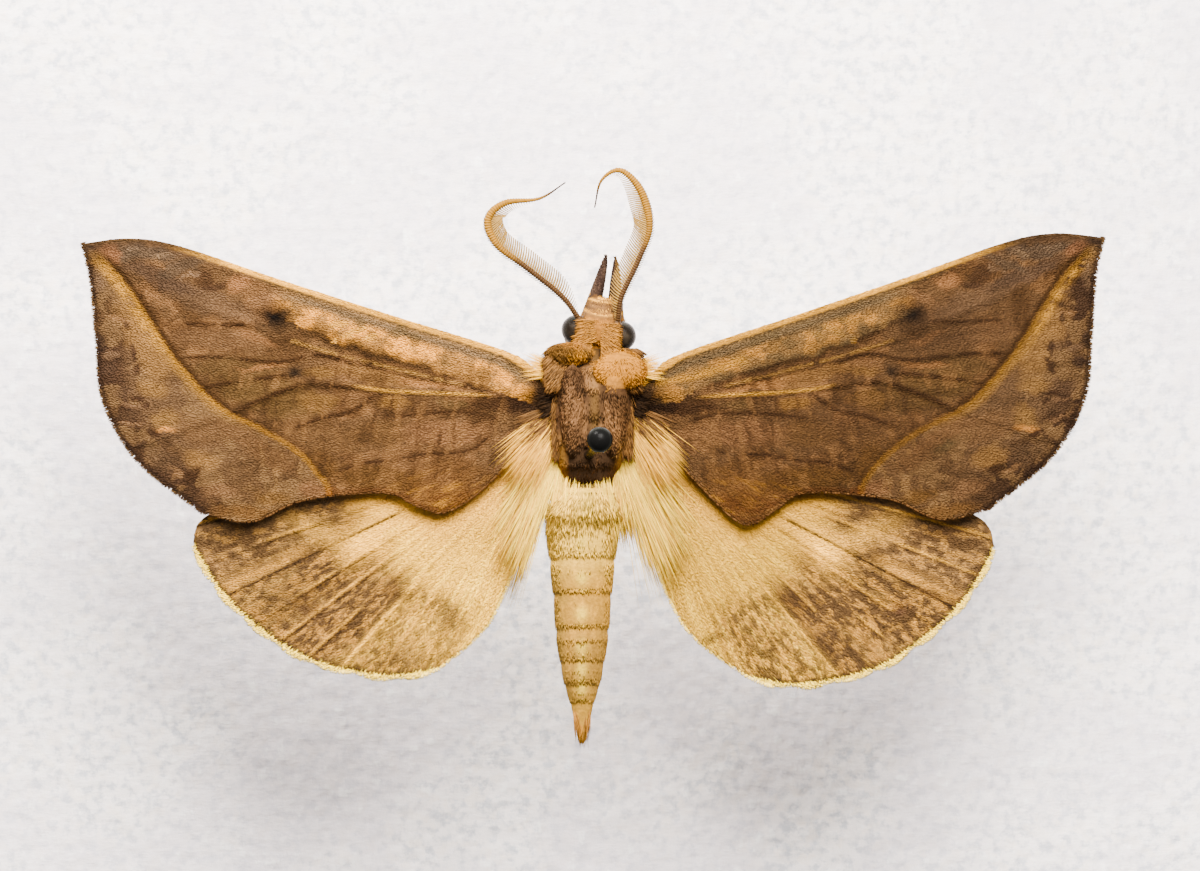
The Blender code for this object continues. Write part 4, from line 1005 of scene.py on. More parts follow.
def skin_finish(name, roughness=0.75):
    """Membrane and body skin: the painted tint, with short flat scales as relief."""
    finish = Finish(name, roughness=roughness, specular_ior_level=0.03)
    fine = finish.noise(7000.0)
    pits = finish.cells(9000.0)
    finish.tinted(finish.ramp(fine, 0.3, 0.7, 0.75, 1.0))
    finish.bump(pits * 0.6 + fine * 0.4, 0.5, 0.00004)
    return finish.material


def horn_finish():
    """Antennae and the rolled tongue: smooth orange-brown horn."""
    finish = Finish("orange_horn", roughness=0.42, specular_ior_level=0.04)
    fine = finish.noise(6000.0)
    finish.tinted(finish.ramp(fine, 0.3, 0.7, 0.8, 1.0))
    finish.set("Roughness", finish.ramp(fine, 0.3, 0.7, 0.3, 0.5))
    return finish.material


def eye_finish():
    """A dark compound eye with fine facets and cloudy patches."""
    finish = Finish("compound_eye", roughness=0.3, specular_ior_level=0.03)
    patches = finish.noise(1400.0)
    facets = finish.cells(22000.0)
    colour = finish.blend(finish.ramp(patches, 0.42, 0.72), rgba(34, 26, 22), rgba(74, 62, 52))
    finish.set("Base Color", colour)
    finish.set("Roughness", finish.ramp(patches, 0.4, 0.7, 0.18, 0.4))
    finish.bump(1.0 - facets, 0.5, 0.00002)
    return finish.material


def lacquer_finish():
    """The pin's black lacquer, with a little dust."""
    finish = Finish("black_lacquer", roughness=0.3, specular_ior_level=0.02)
    dust = finish.noise(5000.0, 4.0)
    finish.set("Base Color", finish.blend(finish.ramp(dust, 0.6, 0.8), rgba(14, 14, 16), rgba(42, 43, 48)))
    finish.set("Roughness", finish.ramp(dust, 0.4, 0.75, 0.24, 0.42))
    return finish.material


def foam_finish():
    """Pale foam: dappled blue-white with cream and mauve, and a fibrous skin."""
    finish = Finish("pale_foam", roughness=0.9)
    dapple = finish.noise(2000.0, 3.0, 0.6)
    warm = finish.noise(1300.0, 2.0, 0.5)
    drift = finish.noise(110.0)
    fibres = finish.noise(1700.0, 4.0, 0.65, stretch=(1.0, 0.35, 1.0))
    cross_fibres = finish.noise(1800.0, 4.0, 0.65, stretch=(0.35, 1.0, 1.0))
    cells = finish.cells(1500.0, "SMOOTH_F1")
    colour = finish.blend(finish.ramp(dapple, 0.42, 0.68, 0.0, 0.7), FOAM["pale"], FOAM["blue"])
    colour = finish.blend(finish.ramp(warm, 0.52, 0.66, 0.0, 0.6), colour, FOAM["cream"])
    colour = finish.blend(finish.ramp(drift, 0.42, 0.6, 0.0, 0.6), colour, FOAM["mauve"])
    colour = finish.blend(finish.ramp(fibres * cross_fibres, 0.3, 0.42, 0.0, 0.7), colour, FOAM["bright"])
    finish.set("Base Color", colour)
    finish.bump(fibres * 0.5 + cross_fibres * 0.5 + cells * 0.6, 0.8, 0.00016)
    return finish.material


def linked(name, data):
    """A new object in the scene."""
    obj = bpy.data.objects.new(name, data)
    bpy.context.scene.collection.objects.link(obj)
    return obj


def read(items, key, kind=float):
    """Three numbers for each of a mesh's items."""
    values = np.empty(len(items) * 3, dtype=kind)
    items.foreach_get(key, values)
    return values.reshape(-1, 3)


def write(mesh, name, kind, values):
    """Stores numbers on a mesh's points."""
    layer = mesh.attributes.new(name, kind, "POINT")
    key = {"FLOAT": "value", "FLOAT_VECTOR": "vector", "FLOAT_COLOR": "color"}[kind]
    layer.data.foreach_set(key, np.asarray(values, float).ravel())


# Meshes

def make_mesh(name, points, faces, material, tints=None):
    """A finished piece from points in millimetres."""
    mesh = bpy.data.meshes.new(name)
    mesh.from_pydata((np.asarray(points) * MM).tolist(), [], [tuple(map(int, f)) for f in faces])
    mesh.shade_smooth()
    if tints is not None:
        colour_points(mesh, tints)
    mesh.materials.append(material)
    return linked(name, mesh)


def colour_points(mesh, tints):
    write(mesh, "tint", "FLOAT_COLOR", np.column_stack([tints, np.ones(len(tints))]))


def outward(obj):
    """Turns all faces outwards."""
    bm = bmesh.new()
    bm.from_mesh(obj.data)
    bmesh.ops.recalc_face_normals(bm, faces=bm.faces)
    bm.to_mesh(obj.data)
    bm.free()
    return obj


def settle(obj, nodes=()):
    """Hangs a finished piece on the root, and hides the model's parts that it stands for."""
    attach(obj, "root")
    if nodes:
        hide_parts(*nodes)
    return obj


def evaluated(obj, name):
    """A new plain mesh object from obj as its modifiers leave it; obj is removed."""
    bpy.context.view_layer.update()
    graph = bpy.context.evaluated_depsgraph_get()
    mesh = bpy.data.meshes.new_from_object(obj.evaluated_get(graph))
    bpy.data.objects.remove(obj)
    mesh.name = name
    return linked(name, mesh)


def voxel_remesh(obj, size):
    union = obj.modifiers.new("union", "REMESH")
    union.mode = "VOXEL"
    union.voxel_size = size


def vane_object(name, outline, ridge):
    """One scale or hair: a flat outline from root to tip with a ridge along its top, closed below.

    outline is a list of (along, half width) from root to tip, in shares of its length and width.
    """
    points = [(0.0, 0.0, 0.0)]
    for along, half in outline:
        bend = math.sin(along * math.pi) * 0.5 + along * 0.3
        points += [(-half, along, bend * 0.2), (half, along, bend * 0.2), (0.0, along, bend * 0.2 + ridge)]
    points.append((0.0, 1.0, 0.08))
    tip = len(points) - 1
    faces = [(0, 1, 3), (0, 3, 2), (0, 2, 1)]
    for i in range(len(outline) - 1):
        a, b = 1 + 3 * i, 4 + 3 * i
        faces += [(a, b, b + 2), (a, b + 2, a + 2), (a + 2, b + 2, b + 1), (a + 2, b + 1, a + 1)]
        faces += [(a + 1, b + 1, b), (a + 1, b, a)]
    a = 1 + 3 * (len(outline) - 1)
    faces += [(a, tip, a + 2), (a + 2, tip, a + 1), (a + 1, tip, a)]
    mesh = bpy.data.meshes.new(name)
    mesh.from_pydata(points, [], faces)
    mesh.shade_smooth()
    write(mesh, "along", "FLOAT", [p[1] for p in points])
    write(mesh, "patch", "FLOAT_VECTOR", [(p[0], p[1] - 0.5, 0.0) for p in points])
    return outward(linked(name, mesh))


def coat_tree():
    """Geometry Nodes that set one vane on each point, along its lie, with the point's tint and map place."""
    sockets = [("Vane", "Object"), ("Patch Size", "Float"), ("Finish", "Material")]
    graph, (points, vane, patch_size, material) = new_tree("coat", sockets)

    def named(name):
        return graph.add("GeometryNodeInputNamedAttribute", {"data_type": "FLOAT_VECTOR"}, [name])

    turn = graph.facing("Z", named("rise"), "Y", named("lie"))
    shape = graph.add("GeometryNodeObjectInfo", {}, {"Object": vane}, output="Geometry")
    coat = graph.laid(points, shape, turn, named("size"))
    place = graph.moved(named("place"), graph.scaled(named("patch"), patch_size))
    graph.finish(graph.store(coat, "OFBake", "FLOAT2", "CORNER", place), material)
    return graph.tree


def set_inputs(modifier, **values):
    """Sets a node tree's inputs by name, before its first evaluation."""
    for item in modifier.node_group.interface.items_tree:
        key = item.name.replace(" ", "_").lower()
        if item.in_out == "INPUT" and key in values:
            modifier[item.identifier] = values[key]


def lay_coat(name, roots, lies, rises, sizes, tints, places, vane):
    """A coat piece: a vane on each root, in millimetres. places are map places from 0 to 1."""
    mesh = bpy.data.meshes.new(name)
    mesh.from_pydata((np.asarray(roots) * MM).tolist(), [], [])
    flat = np.column_stack([places, np.zeros(len(places))])
    for key, values in {"lie": lies, "rise": rises, "size": np.asarray(sizes) * MM, "place": flat}.items():
        write(mesh, key, "FLOAT_VECTOR", values)
    colour_points(mesh, tints)
    carrier = linked(name + "_roots", mesh)
    modifier = carrier.modifiers.new("coat", "NODES")
    modifier.node_group = COAT
    set_inputs(modifier, vane=VANES[vane], patch_size=MAP_PATCH, finish=MATERIALS["scales"])
    coat = evaluated(carrier, name)
    for spare in ("lie", "rise", "size", "place", "patch"):
        if spare in coat.data.attributes:
            coat.data.attributes.remove(coat.data.attributes[spare])
    return coat


# Wings

def wing_rise(x):
    return WING_RISE * np.sin(math.pi * np.clip(x / HALF_SPAN, 0, 1) ** 0.8)


def forewing_level(places, side):
    """The height of the forewing's membrane: a low arch, raised veins and a slight waviness."""
    level = WING_LEVEL - FORE_DROP + wing_rise(places[:, 0])
    for vein in RIDGED_VEINS:
        level = level + 0.07 * soft(curve_gap(places, vein, 1.0), 0.18)
    for vein in FORE_VEINS[:5]:
        level = level + 0.035 * soft(curve_gap(places, vein, 1.0), 0.13)
    level = level + 0.06 * soft(curve_gap(places, FORE_COSTA, 1.2), 0.25)
    return level + (cloud(places, 2.2, 301 if side == "left" else 303) - 0.5) * 0.1


def hindwing_level(places, side):
    """The height of the hindwing's membrane, with shallow fan folds between its veins."""
    reach, degrees = hindwing_polar(places)
    level = WING_LEVEL - HIND_DROP + wing_rise(places[:, 0])
    grown = np.clip((reach - 6.0) / 6.0, 0, 1)
    clear = np.clip((-places[:, 1] - 4.0) / 3.0, 0, 1)
    level = level + HIND_FOLD * grown * clear * np.sin(degrees / 8.0 * math.pi)
    for vein in HIND_VEIN_ANGLES:
        level = level + 0.04 * soft(np.radians(degrees - vein) * reach, 0.12) * step(reach, 2.0, 5.0)
    return level + (cloud(places, 1.8, 311 if side == "left" else 313) - 0.5) * 0.08


def forewing_edges(side):
    """The costa, outer and inner edges of the right forewing, fringe included."""
    costa = smooth_line(FORE_COSTA, 0.3)
    outer = smooth_line(FORE_OUTER, 0.3)
    inner = smooth_line(FORE_INNER, 0.25)
    inner[:, 1] -= LOBE_DROP[side] * soft(inner[:, 0] - LOBE_PLACE, LOBE_WIDTH)
    return {"costa": costa, "outer": outer, "inner": inner}


def hindwing_edges(side):
    costa = smooth_line(HIND_COSTA, 0.3)
    outer = smooth_line(HIND_OUTER, 0.2)
    inner = smooth_line(HIND_INNER, 0.3)
    inner[:, 0] -= HIND_FULLNESS[side] * np.sin(math.pi * np.linspace(0, 1, len(inner)))
    wave = np.abs(np.sin(math.pi * HIND_SCALLOPS * np.linspace(0, 1, len(outer))))
    outer = outer + edge_normals(outer) * (wave * HIND_SCALLOP_DEPTH)[:, None]
    edges = {"costa": costa, "outer": outer, "inner": inner}
    for points in edges.values():
        points[:, 1] *= np.where(points[:, 1] < HIND_ROOT[1], HIND_REACH[side], 1.0)
    return edges


def edge_normals(points):
    """Outward normals of an edge that runs clockwise round the right wing, from the root along the costa."""
    run = np.gradient(points, axis=0)
    return unit(np.column_stack([-run[:, 1], run[:, 0]]))


def drawn_in(edges, fringe):
    """The membrane's closed edge, inside the fringe."""
    parts = [points - edge_normals(points) * fringe[name] for name, points in edges.items()]
    return np.vstack([parts[0][:-1], parts[1][:-1], parts[2]])


def placed(points, side, turn):
    """From the pattern's place to the wing's: turned about its centre, then mirrored for the left side."""
    if turn:
        points = turned(points, FORE_TURN[side], FORE_TURN_CENTRE)
    return np.column_stack([points[:, 0] * SIDES[side], points[:, 1]])


def on_wing(wing, places):
    """Points in space for pattern places on a wing's membrane middle."""
    flat = placed(places, wing["side"], wing["turn"])
    return np.column_stack([flat, wing["level"](places, wing["side"])])


def wing_frame(wing, places, above):
    """The membrane's middle, the way its scales lie, outwards from the root, and its normal on one side."""
    here = on_wing(wing, places)
    right = on_wing(wing, places + (SHORT_WAY, 0))
    up = on_wing(wing, places + (0, SHORT_WAY))
    rises = unit(np.cross(right - here, up - here)) * SIDES[wing["side"]]
    lies = unit(places - np.array(wing["root"]) + (1.0, 0.0))
    costa = wing["edges"]["costa"]
    slope = np.interp(places[:, 0], costa[:, 0], np.gradient(costa[:, 1], costa[:, 0]) - 0.06)
    near = step(line_distance(places, costa[::3])[0], 0.6, 0.25)[:, None]
    lies = unit(lies * (1 - near) + unit(np.column_stack([np.ones(len(slope)), slope])) * near)
    ahead = unit(on_wing(wing, places + lies * SHORT_WAY) - here)
    return here, ahead, rises * (1.0 if above else -1.0)


def wing_membrane(wing):
    """A thin closed sheet with the wing's relief and markings on both faces."""
    edge = wing["rim"]
    low, high = edge.min(axis=0), edge.max(axis=0)
    rows = np.arange(low[1], high[1], MEMBRANE_STEP * 0.87)
    columns = np.arange(low[0], high[0], MEMBRANE_STEP)
    grid = np.array([(x + (i % 2) * MEMBRANE_STEP / 2, y) for i, y in enumerate(rows) for x in columns])
    grid = grid[inside(grid, edge)]
    grid = grid[line_distance(grid, np.vstack([edge, edge[:1]])[::2])[0] > MEMBRANE_STEP * 0.5]
    points = [Vector(p) for p in np.vstack([edge, grid])]
    links = [(i, (i + 1) % len(edge)) for i in range(len(edge))]
    made, _, triangles, *_ = delaunay_2d_cdt(points, links, [], 1, 1e-5)
    places = np.array([tuple(p) for p in made])
    middle = on_wing(wing, places)
    count = len(places)
    faces = []
    rim = {}
    for a, b, c in triangles:
        faces += [(a, b, c), (c + count, b + count, a + count)]
        for pair in ((a, b), (b, c), (c, a)):
            key = frozenset(pair)
            rim[key] = None if key in rim else pair
    for pair in rim.values():
        if pair is not None:
            a, b = pair
            faces += [(b, a, a + count), (b, a + count, b + count)]
    sheet = np.vstack([middle + (0, 0, MEMBRANE / 2), middle - (0, 0, MEMBRANE / 2)])
    tints = np.vstack([wing[face](places, wing["side"]) for face in ("upper", "under")])
    obj = outward(make_mesh(wing["name"] + "_membrane", sheet, faces, MATERIALS["membrane"], tints))
    settle(obj, [wing["name"]])


def scattered(edge, spacing, rng):
    """Places in staggered, jittered rows within an edge."""
    low, high = edge.min(axis=0), edge.max(axis=0)
    across, along = spacing
    rows = np.arange(low[0], high[0], along)
    columns = np.arange(low[1], high[1], across)
    x, y = np.meshgrid(rows, columns, indexing="ij")
    y = y + (np.arange(len(rows)) % 2)[:, None] * across / 2
    places = np.column_stack([x.ravel(), y.ravel()])
    places += rng.uniform(-0.45, 0.45, places.shape) * (along, across)
    return places[inside(places, edge)]


def map_places(wing, places):
    """The wing's plan as an unwrap."""
    edge = wing["edge"]
    low, high = edge.min(axis=0) - 0.5, edge.max(axis=0) + 0.5
    spread = (places - low) / (high - low).max()
    spread[:, 1] = spread[:, 1] * 0.8
    return spread * 0.96 + 0.02


def wing_scales(wing, face, spacing, length, width, seed):
    """Overlapping flat scales over one face of a wing."""
    rng = np.random.default_rng(seed)
    places = scattered(wing["rim"], spacing, rng)
    if face == "lower":
        places = places[line_distance(places, wing["rim"][::2])[0] > UNDER_MARGIN]
    here, ahead, rises = wing_frame(wing, places, face == "upper")
    count = len(places)
    calm = step(line_distance(places, wing["edges"]["costa"][::3])[0], 0.2, 0.5)
    swing = rng.normal(0, 0.11, count) * (0.2 + 0.8 * calm)
    sideways = np.cross(rises, ahead)
    lift = rng.uniform(0.01, 0.07, count)
    lies = unit(ahead + sideways * swing[:, None] + rises * lift[:, None])
    lengths = length * rng.uniform(0.75, 1.25, count)
    widths = width * rng.uniform(0.75, 1.2, count) * (0.55 + 0.45 * calm)
    roots = here + rises * (MEMBRANE / 2) - lies * (lengths * 0.3)[:, None]
    colours = wing["upper" if face == "upper" else "under"](places, wing["side"])
    lightness = rng.normal(1.0, 0.07, count)
    lightness = lightness + (rng.random(count) < 0.04) * 0.25 - (rng.random(count) < 0.05) * 0.25
    colours = np.clip(colours * np.clip(lightness, 0.5, 1.6)[:, None] * WING_GAIN, 0, 1)
    sizes = np.column_stack([widths, lengths, widths])
    name = f"{wing['name']}_membrane_{face}_scales"
    maps = map_places(wing, places)
    settle(lay_coat(name, roots, lies, rises, sizes, colours, maps, "scale"))


def wing_fringe(wing, seed):
    """Rows of long scales that stand out past the outer and rear edges."""
    rng = np.random.default_rng(seed)
    rows = []
    for edge_name in ("outer", "inner"):
        edge = wing["edges"][edge_name]
        reach = wing["fringe"][edge_name]
        lengths = run_lengths(edge)
        count = round(lengths[-1] / LASH_SPACING)
        along = np.sort(rng.uniform(0, lengths[-1], count))
        places = np.column_stack([np.interp(along, lengths, edge[:, i]) for i in (0, 1)])
        normals = edge_normals(edge)
        out = unit(np.column_stack([np.interp(along, lengths, normals[:, i]) for i in (0, 1)]))
        tier = rng.integers(0, 3, count)
        start = places - out * (reach + 0.12 + tier * 0.03)[:, None]
        swing = rng.normal(0, 0.08, count)
        sideways = np.column_stack([-out[:, 1], out[:, 0]])
        heading = unit(out + sideways * swing[:, None])
        ragged = rng.uniform(0.93, 1.0, count) * np.where(rng.random(count) < 0.02, 0.75, 1.0)
        ragged *= 0.93 + 0.07 * cloud(np.column_stack([along, along * 0]), 0.5, seed)
        long = (reach + 0.13) * ragged * np.array([1.0, 0.95, 0.85])[tier]
        here = on_wing(wing, start)
        ahead = unit(on_wing(wing, start + heading * 0.05) - here)
        lift = (tier - 1) * 0.05 + rng.normal(0, 0.04, count)
        up = np.tile((0.0, 0.0, 1.0), (count, 1))
        wide = rng.uniform(0.03, 0.045, count)
        tint = wing["lashes"](edge_name, tier, start)
        rows.append((
            here + up * ((1 - tier) * 0.02)[:, None], unit(ahead + up * lift[:, None]), up,
            np.column_stack([wide, long, wide]),
            np.clip(tint * rng.normal(1.0, 0.09, count)[:, None] * WING_GAIN, 0, 1), map_places(wing, start),
        ))
    name = wing["name"] + "_membrane_fringe"
    settle(lay_coat(name, *map(np.vstack, zip(*rows)), "lash"))


def forewing_fringe_colours(edge_name, tier, places):
    tone = Layers(len(places), (104, 74, 50))
    tone.over((76, 52, 36), (tier == 2) * 0.7)
    tone.over((176, 140, 96), (tier == 0) * 0.45 * cloud(places, 0.3, 91))
    if edge_name == "inner":
        tone.over((168, 112, 62), np.full(len(places), 0.6))
    return tone.rgb


def hindwing_fringe_colours(edge_name, tier, places):
    tone = Layers(len(places), (242, 228, 202))
    tone.over((226, 200, 154), (tier == 2) * 0.5)
    if edge_name == "inner":
        tone.over((226, 204, 150), np.full(len(places), 0.7))
    return tone.rgb


def make_wings():
    """Each wing's membrane, the scales on its faces, and its fringe."""
    kinds = {
        "forewing": {
            "turn": True, "root": FORE_ROOT, "fringe": FORE_FRINGE,
            "level": forewing_level, "trace": forewing_edges,
            "upper": forewing_colours, "under": forewing_under_colours, "lashes": forewing_fringe_colours,
        },
        "hindwing": {
            "turn": False, "root": HIND_ROOT, "fringe": HIND_FRINGE,
            "level": hindwing_level, "trace": hindwing_edges,
            "upper": hindwing_colours, "under": hindwing_under_colours, "lashes": hindwing_fringe_colours,
        },
    }
    for side in SIDES:
        seed = 1 if side == "left" else 51
        for slot, kind in kinds.items():
            wing = {"name": f"{slot}_{side}", "slot": slot, "side": side, **kind}
            wing["edges"] = kind["trace"](side)
            wing["edge"] = np.vstack(list(wing["edges"].values()))
            wing["rim"] = drawn_in(wing["edges"], wing["fringe"])
            wing_membrane(wing)
            wing_scales(wing, "upper", *UPPER_SCALES[slot], seed)
            wing_scales(wing, "lower", *LOWER_SCALES[slot], seed + 2)
            wing_fringe(wing, seed + 4)
            seed += 1


# The body

def head_place():
    return Matrix.Translation(Vector(NECK)) @ Matrix.Rotation(math.radians(HEAD_YAW), 4, "Z")


def to_head(places):
    inverse = np.array(head_place().inverted())
    return np.asarray(places) @ inverse[:3, :3].T + inverse[:3, 3]


def from_head(places):
    forward = np.array(head_place())
    return np.asarray(places, float) @ forward[:3, :3].T + forward[:3, 3]


def loft(rings):
    """Points and faces of a closed skin over rings of equal size."""
    sides = len(rings[0])
    points = [p for one in rings for p in one]
    faces = []
    for r in range(len(rings) - 1):
        for i in range(sides):
            a, b = r * sides + i, r * sides + (i + 1) % sides
            faces.append((a, b, b + sides, a + sides))
    faces.append(tuple(range(sides))[::-1])
    last = (len(rings) - 1) * sides
    faces.append(tuple(range(last, last + sides)))
    return np.array(points, float), faces


def egg(middle, half_width, up, down, sides=32):
    turn = 2 * np.pi * np.arange(sides) / sides
    rise = np.where(np.sin(turn) > 0, up, down)
    x, y, z = middle
    return np.column_stack([x + half_width * np.cos(turn), np.full(sides, y), z + rise * np.sin(turn)])


def tube(route, radii, sides=12):
    """Points and faces of a tapered round tube along a route."""
    route = np.asarray(route, float)
    ahead = unit(np.gradient(route, axis=0))
    side = np.cross(ahead[0], (0.0, 0.0, 1.0))
    side = side / np.linalg.norm(side)
    rings = []
    turn = 2 * np.pi * np.arange(sides) / sides
    for place, run, radius in zip(route, ahead, radii):
        side = side - run * (side @ run)
        side = side / np.linalg.norm(side)
        other = np.cross(run, side)
        rings.append(place + (np.outer(np.cos(turn), side) + np.outer(np.sin(turn), other)) * radius)
    return loft(rings)


def ellipsoid(centre, radii, turn, segments=32, rings=20):
    bm = bmesh.new()
    bmesh.ops.create_uvsphere(bm, u_segments=segments, v_segments=rings, radius=1.0)
    place = Matrix.Translation(Vector(centre)) @ turn @ Matrix.Diagonal((*radii, 1.0))
    bmesh.ops.transform(bm, matrix=place, verts=bm.verts)
    points = np.array([v.co[:] for v in bm.verts])
    faces = [tuple(v.index for v in f.verts) for f in bm.faces]
    bm.free()
    return points, faces


def abdomen_middle(y):
    along = (ABDOMEN_START - y) / (ABDOMEN_START - ABDOMEN_TIP)
    return body_lean(y), ABDOMEN_LEVEL - ABDOMEN_SAG * max(0.0, along) ** 2


def thorax_shape(inset):
    rings = [
        egg((body_lean(y), y, THORAX_LEVEL), w - inset, up - inset, down - inset)
        for y, w, up, down in THORAX_STATIONS
    ]
    return loft(rings)


def abdomen_shape(inset):
    """Rings that swell to their rear edges and step in under the next."""
    rings = []
    edges = [-2.0, *ABDOMEN_RINGS, ABDOMEN_TIP + inset * 0.5]
    for front, rear in zip(edges, edges[1:]):
        for share, swell in ((0.05, -0.03), (0.35, 0.0), (0.7, 0.015), (0.95, 0.02)):
            y = front + (rear - front) * share
            (half,) = between(ABDOMEN_WIDTHS, y)
            half = max(half - inset, 0.12) + swell
            x, z = abdomen_middle(y)
            rings.append(egg((x, y, z), half, half * 1.05, half))
    return loft(rings)


def head_shape(inset):
    rings = [egg((0, y, 0), w - inset, up - inset, down - inset) for y, w, up, down in HEAD_STATIONS[:-1]]
    points, faces = loft(rings)
    return from_head(points), faces


def palp_route(side):
    sign = SIDES[side]
    anchors = [
        (PALP_MIDDLE + sign * spread, reach, lift)
        for spread, reach, lift in zip(PALP_SPREAD, PALP_REACH, PALP_LIFT)
    ]
    return smooth_line(anchors, 0.12)


def palp_shape(side, inset):
    rings = []
    route = palp_route(side)
    for i, place in enumerate(route):
        share = i / (len(route) - 1)
        half = max(0.4 * (1 - share) ** 0.55 + 0.05 - inset, 0.035)
        rings.append(egg(place, half, half * 1.35, half * 1.35, 16))
    points, faces = loft(rings)
    return from_head(points), faces


def leg_route(pair, side):
    anchors = [(SIDES[side] * x + body_lean(y), y, WING_LEVEL + z) for x, y, z in LEG_ROUTES[pair]]
    return smooth_line(anchors, 0.12)


def leg_radii(count):
    """Thick thighs and shins, and a foot of short beads."""
    share = np.linspace(0, 1, count)
    radii = np.interp(share * (len(LEG_RADII) - 1), range(len(LEG_RADII)), LEG_RADII)
    joints = soft(share - 0.38, 0.012) * 0.06 + soft(share - 0.62, 0.012) * 0.05
    beads = np.where(share > 0.64, np.abs(np.sin((share - 0.64) / 0.36 * math.pi * 5)) * 0.03, 0.0)
    return radii - joints * 0.6 + beads - 0.03


def flap_shape(side, inset):
    middle, size, tilt = COLLAR_FLAPS[side]
    turn = Matrix.Rotation(SIDES[side] * math.radians(tilt), 4, "Y")
    return ellipsoid((middle[0], middle[1], WING_LEVEL + middle[2]), [s - inset for s in size], turn)


def tegula_shape(side, inset):
    centre, radii, tilt = TEGULA
    turn = Matrix.Rotation(SIDES[side] * math.radians(tilt), 4, "Y")
    place = (SIDES[side] * centre[0], centre[1], WING_LEVEL + centre[2])
    return ellipsoid(place, [r - inset for r in radii], turn)


def joined(shapes):
    points, faces, base = [], [], 0
    for some_points, some_faces in shapes:
        points.append(some_points)
        faces += [tuple(i + base for i in face) for face in some_faces]
        base += len(some_points)
    return np.vstack(points), faces


def remeshed(shapes):
    """One closed surface round all the shapes, as points, triangles and normals in millimetres."""
    points, faces = joined(shapes)
    mesh = bpy.data.meshes.new("union")
    mesh.from_pydata(points.tolist(), [], faces)
    obj = outward(linked("union", mesh))
    voxel_remesh(obj, SKIN_STEP)
    relax = obj.modifiers.new("relax", "SMOOTH")
    relax.factor = 0.5
    relax.iterations = 2
    obj = evaluated(obj, "union")
    mesh = obj.data
    mesh.calc_loop_triangles()
    triangles = read(mesh.loop_triangles, "vertices", np.int32)
    surface = read(mesh.vertices, "co"), triangles, read(mesh.vertices, "normal")
    bpy.data.objects.remove(obj)
    return surface


def zone_of(places):
    """Which coat each place on the skin bears."""
    z = places[:, 2]
    local = to_head(places)
    zones = np.full(len(places), "thorax", dtype="<U8")
    zones[places[:, 1] < -2.35] = "abdomen"
    in_head = (local[:, 1] > 0.05) & (z > 24.2)
    zones[in_head] = "head"
    palps = np.zeros(len(places), bool)
    for side in SIDES:
        palps |= nearest(places, from_head(palp_route(side))[4:])[0] < 0.4
    zones[in_head & palps & ((local[:, 1] > 2.2) | (local[:, 2] < -0.3))] = "palps"
    for middle, size, _ in COLLAR_FLAPS.values():
        offset = (places - np.array((middle[0], middle[1], WING_LEVEL + middle[2]))) / np.array(size)
        on_flap = (np.hypot(offset[:, 0], offset[:, 1]) < 1.0) & (z > WING_LEVEL + middle[2] - 0.45)
        zones[on_flap & ~in_head] = "collar"
    bones = np.vstack([leg_route(pair, side)[4:] for pair in LEG_ROUTES for side in SIDES])
    zones[(nearest(places, bones)[0] < 0.42) & (z < 24.6)] = "legs"
    return zones


ZONE_COLOURS = {
    "thorax": thorax_colours, "abdomen": abdomen_colours, "head": head_colours, "palps": palp_colours,
    "collar": collar_colours, "legs": leg_colours,
}


def body_tints(places, zones):
    tints = np.zeros((len(places), 3))
    for zone, colours in ZONE_COLOURS.items():
        chosen = zones == zone
        if chosen.any():
            tints[chosen] = colours(places[chosen])
    return tints


def lie_at(zone, places, normals):
    """The way the coat lies: back along the trunk, forward on the palps, out on the flaps, down the legs."""
    x, y, z = places.T
    ones = np.ones(len(places))
    if zone == "abdomen":
        lie = [(x - body_lean(y)) * 0.12, -ones, ones * 0]
    elif zone == "thorax":
        lie = [x * 0.35, -ones, np.where(z > 26.5, 0.05, -0.2)]
    elif zone == "head":
        local = to_head(places)
        forward = np.where(local[:, 1] > 0.9, 1.0, -0.4)
        lie = [-local[:, 0] * 0.3 * forward, forward, ones * 0]
    elif zone == "palps":
        lie = [-0.1 * x, ones, ones * 0.15]
    elif zone == "collar":
        lie = [(x - 1.2) * 0.8 * (x > 0), np.where(x > 0, y - 3.6, -0.6), ones * 0]
    else:
        routes = [leg_route(pair, side) for pair in LEG_ROUTES for side in SIDES]
        runs = np.vstack([unit(np.gradient(route, axis=0)) for route in routes])
        lie = runs[nearest(places, np.vstack(routes))[1]].T
    lie = np.column_stack(lie)
    flat = lie - normals * np.sum(lie * normals, axis=1)[:, None]
    return unit(flat + 1e-6)


def one_per_cell(places, cell):
    """The numbers of the first place in each cubic cell."""
    return np.unique(np.floor(places / cell).astype(np.int64), axis=0, return_index=True)[1]


def sampled(places, triangles, normals, count, cell, rng):
    """Places spread evenly over a surface, no two in one cell, with their normals."""
    a, b, c = (places[triangles[:, i]] for i in range(3))
    area = np.linalg.norm(np.cross(b - a, c - a), axis=1)
    chosen = rng.choice(len(triangles), size=count, p=area / area.sum())
    u, v = rng.random(count), rng.random(count)
    flip = u + v > 1
    u[flip], v[flip] = 1 - u[flip], 1 - v[flip]
    spots = a[chosen] + (b[chosen] - a[chosen]) * u[:, None] + (c[chosen] - a[chosen]) * v[:, None]
    ways = sum(normals[triangles[chosen, i]] for i in range(3))
    first = one_per_cell(spots, cell)
    return spots[first], unit(ways[first])


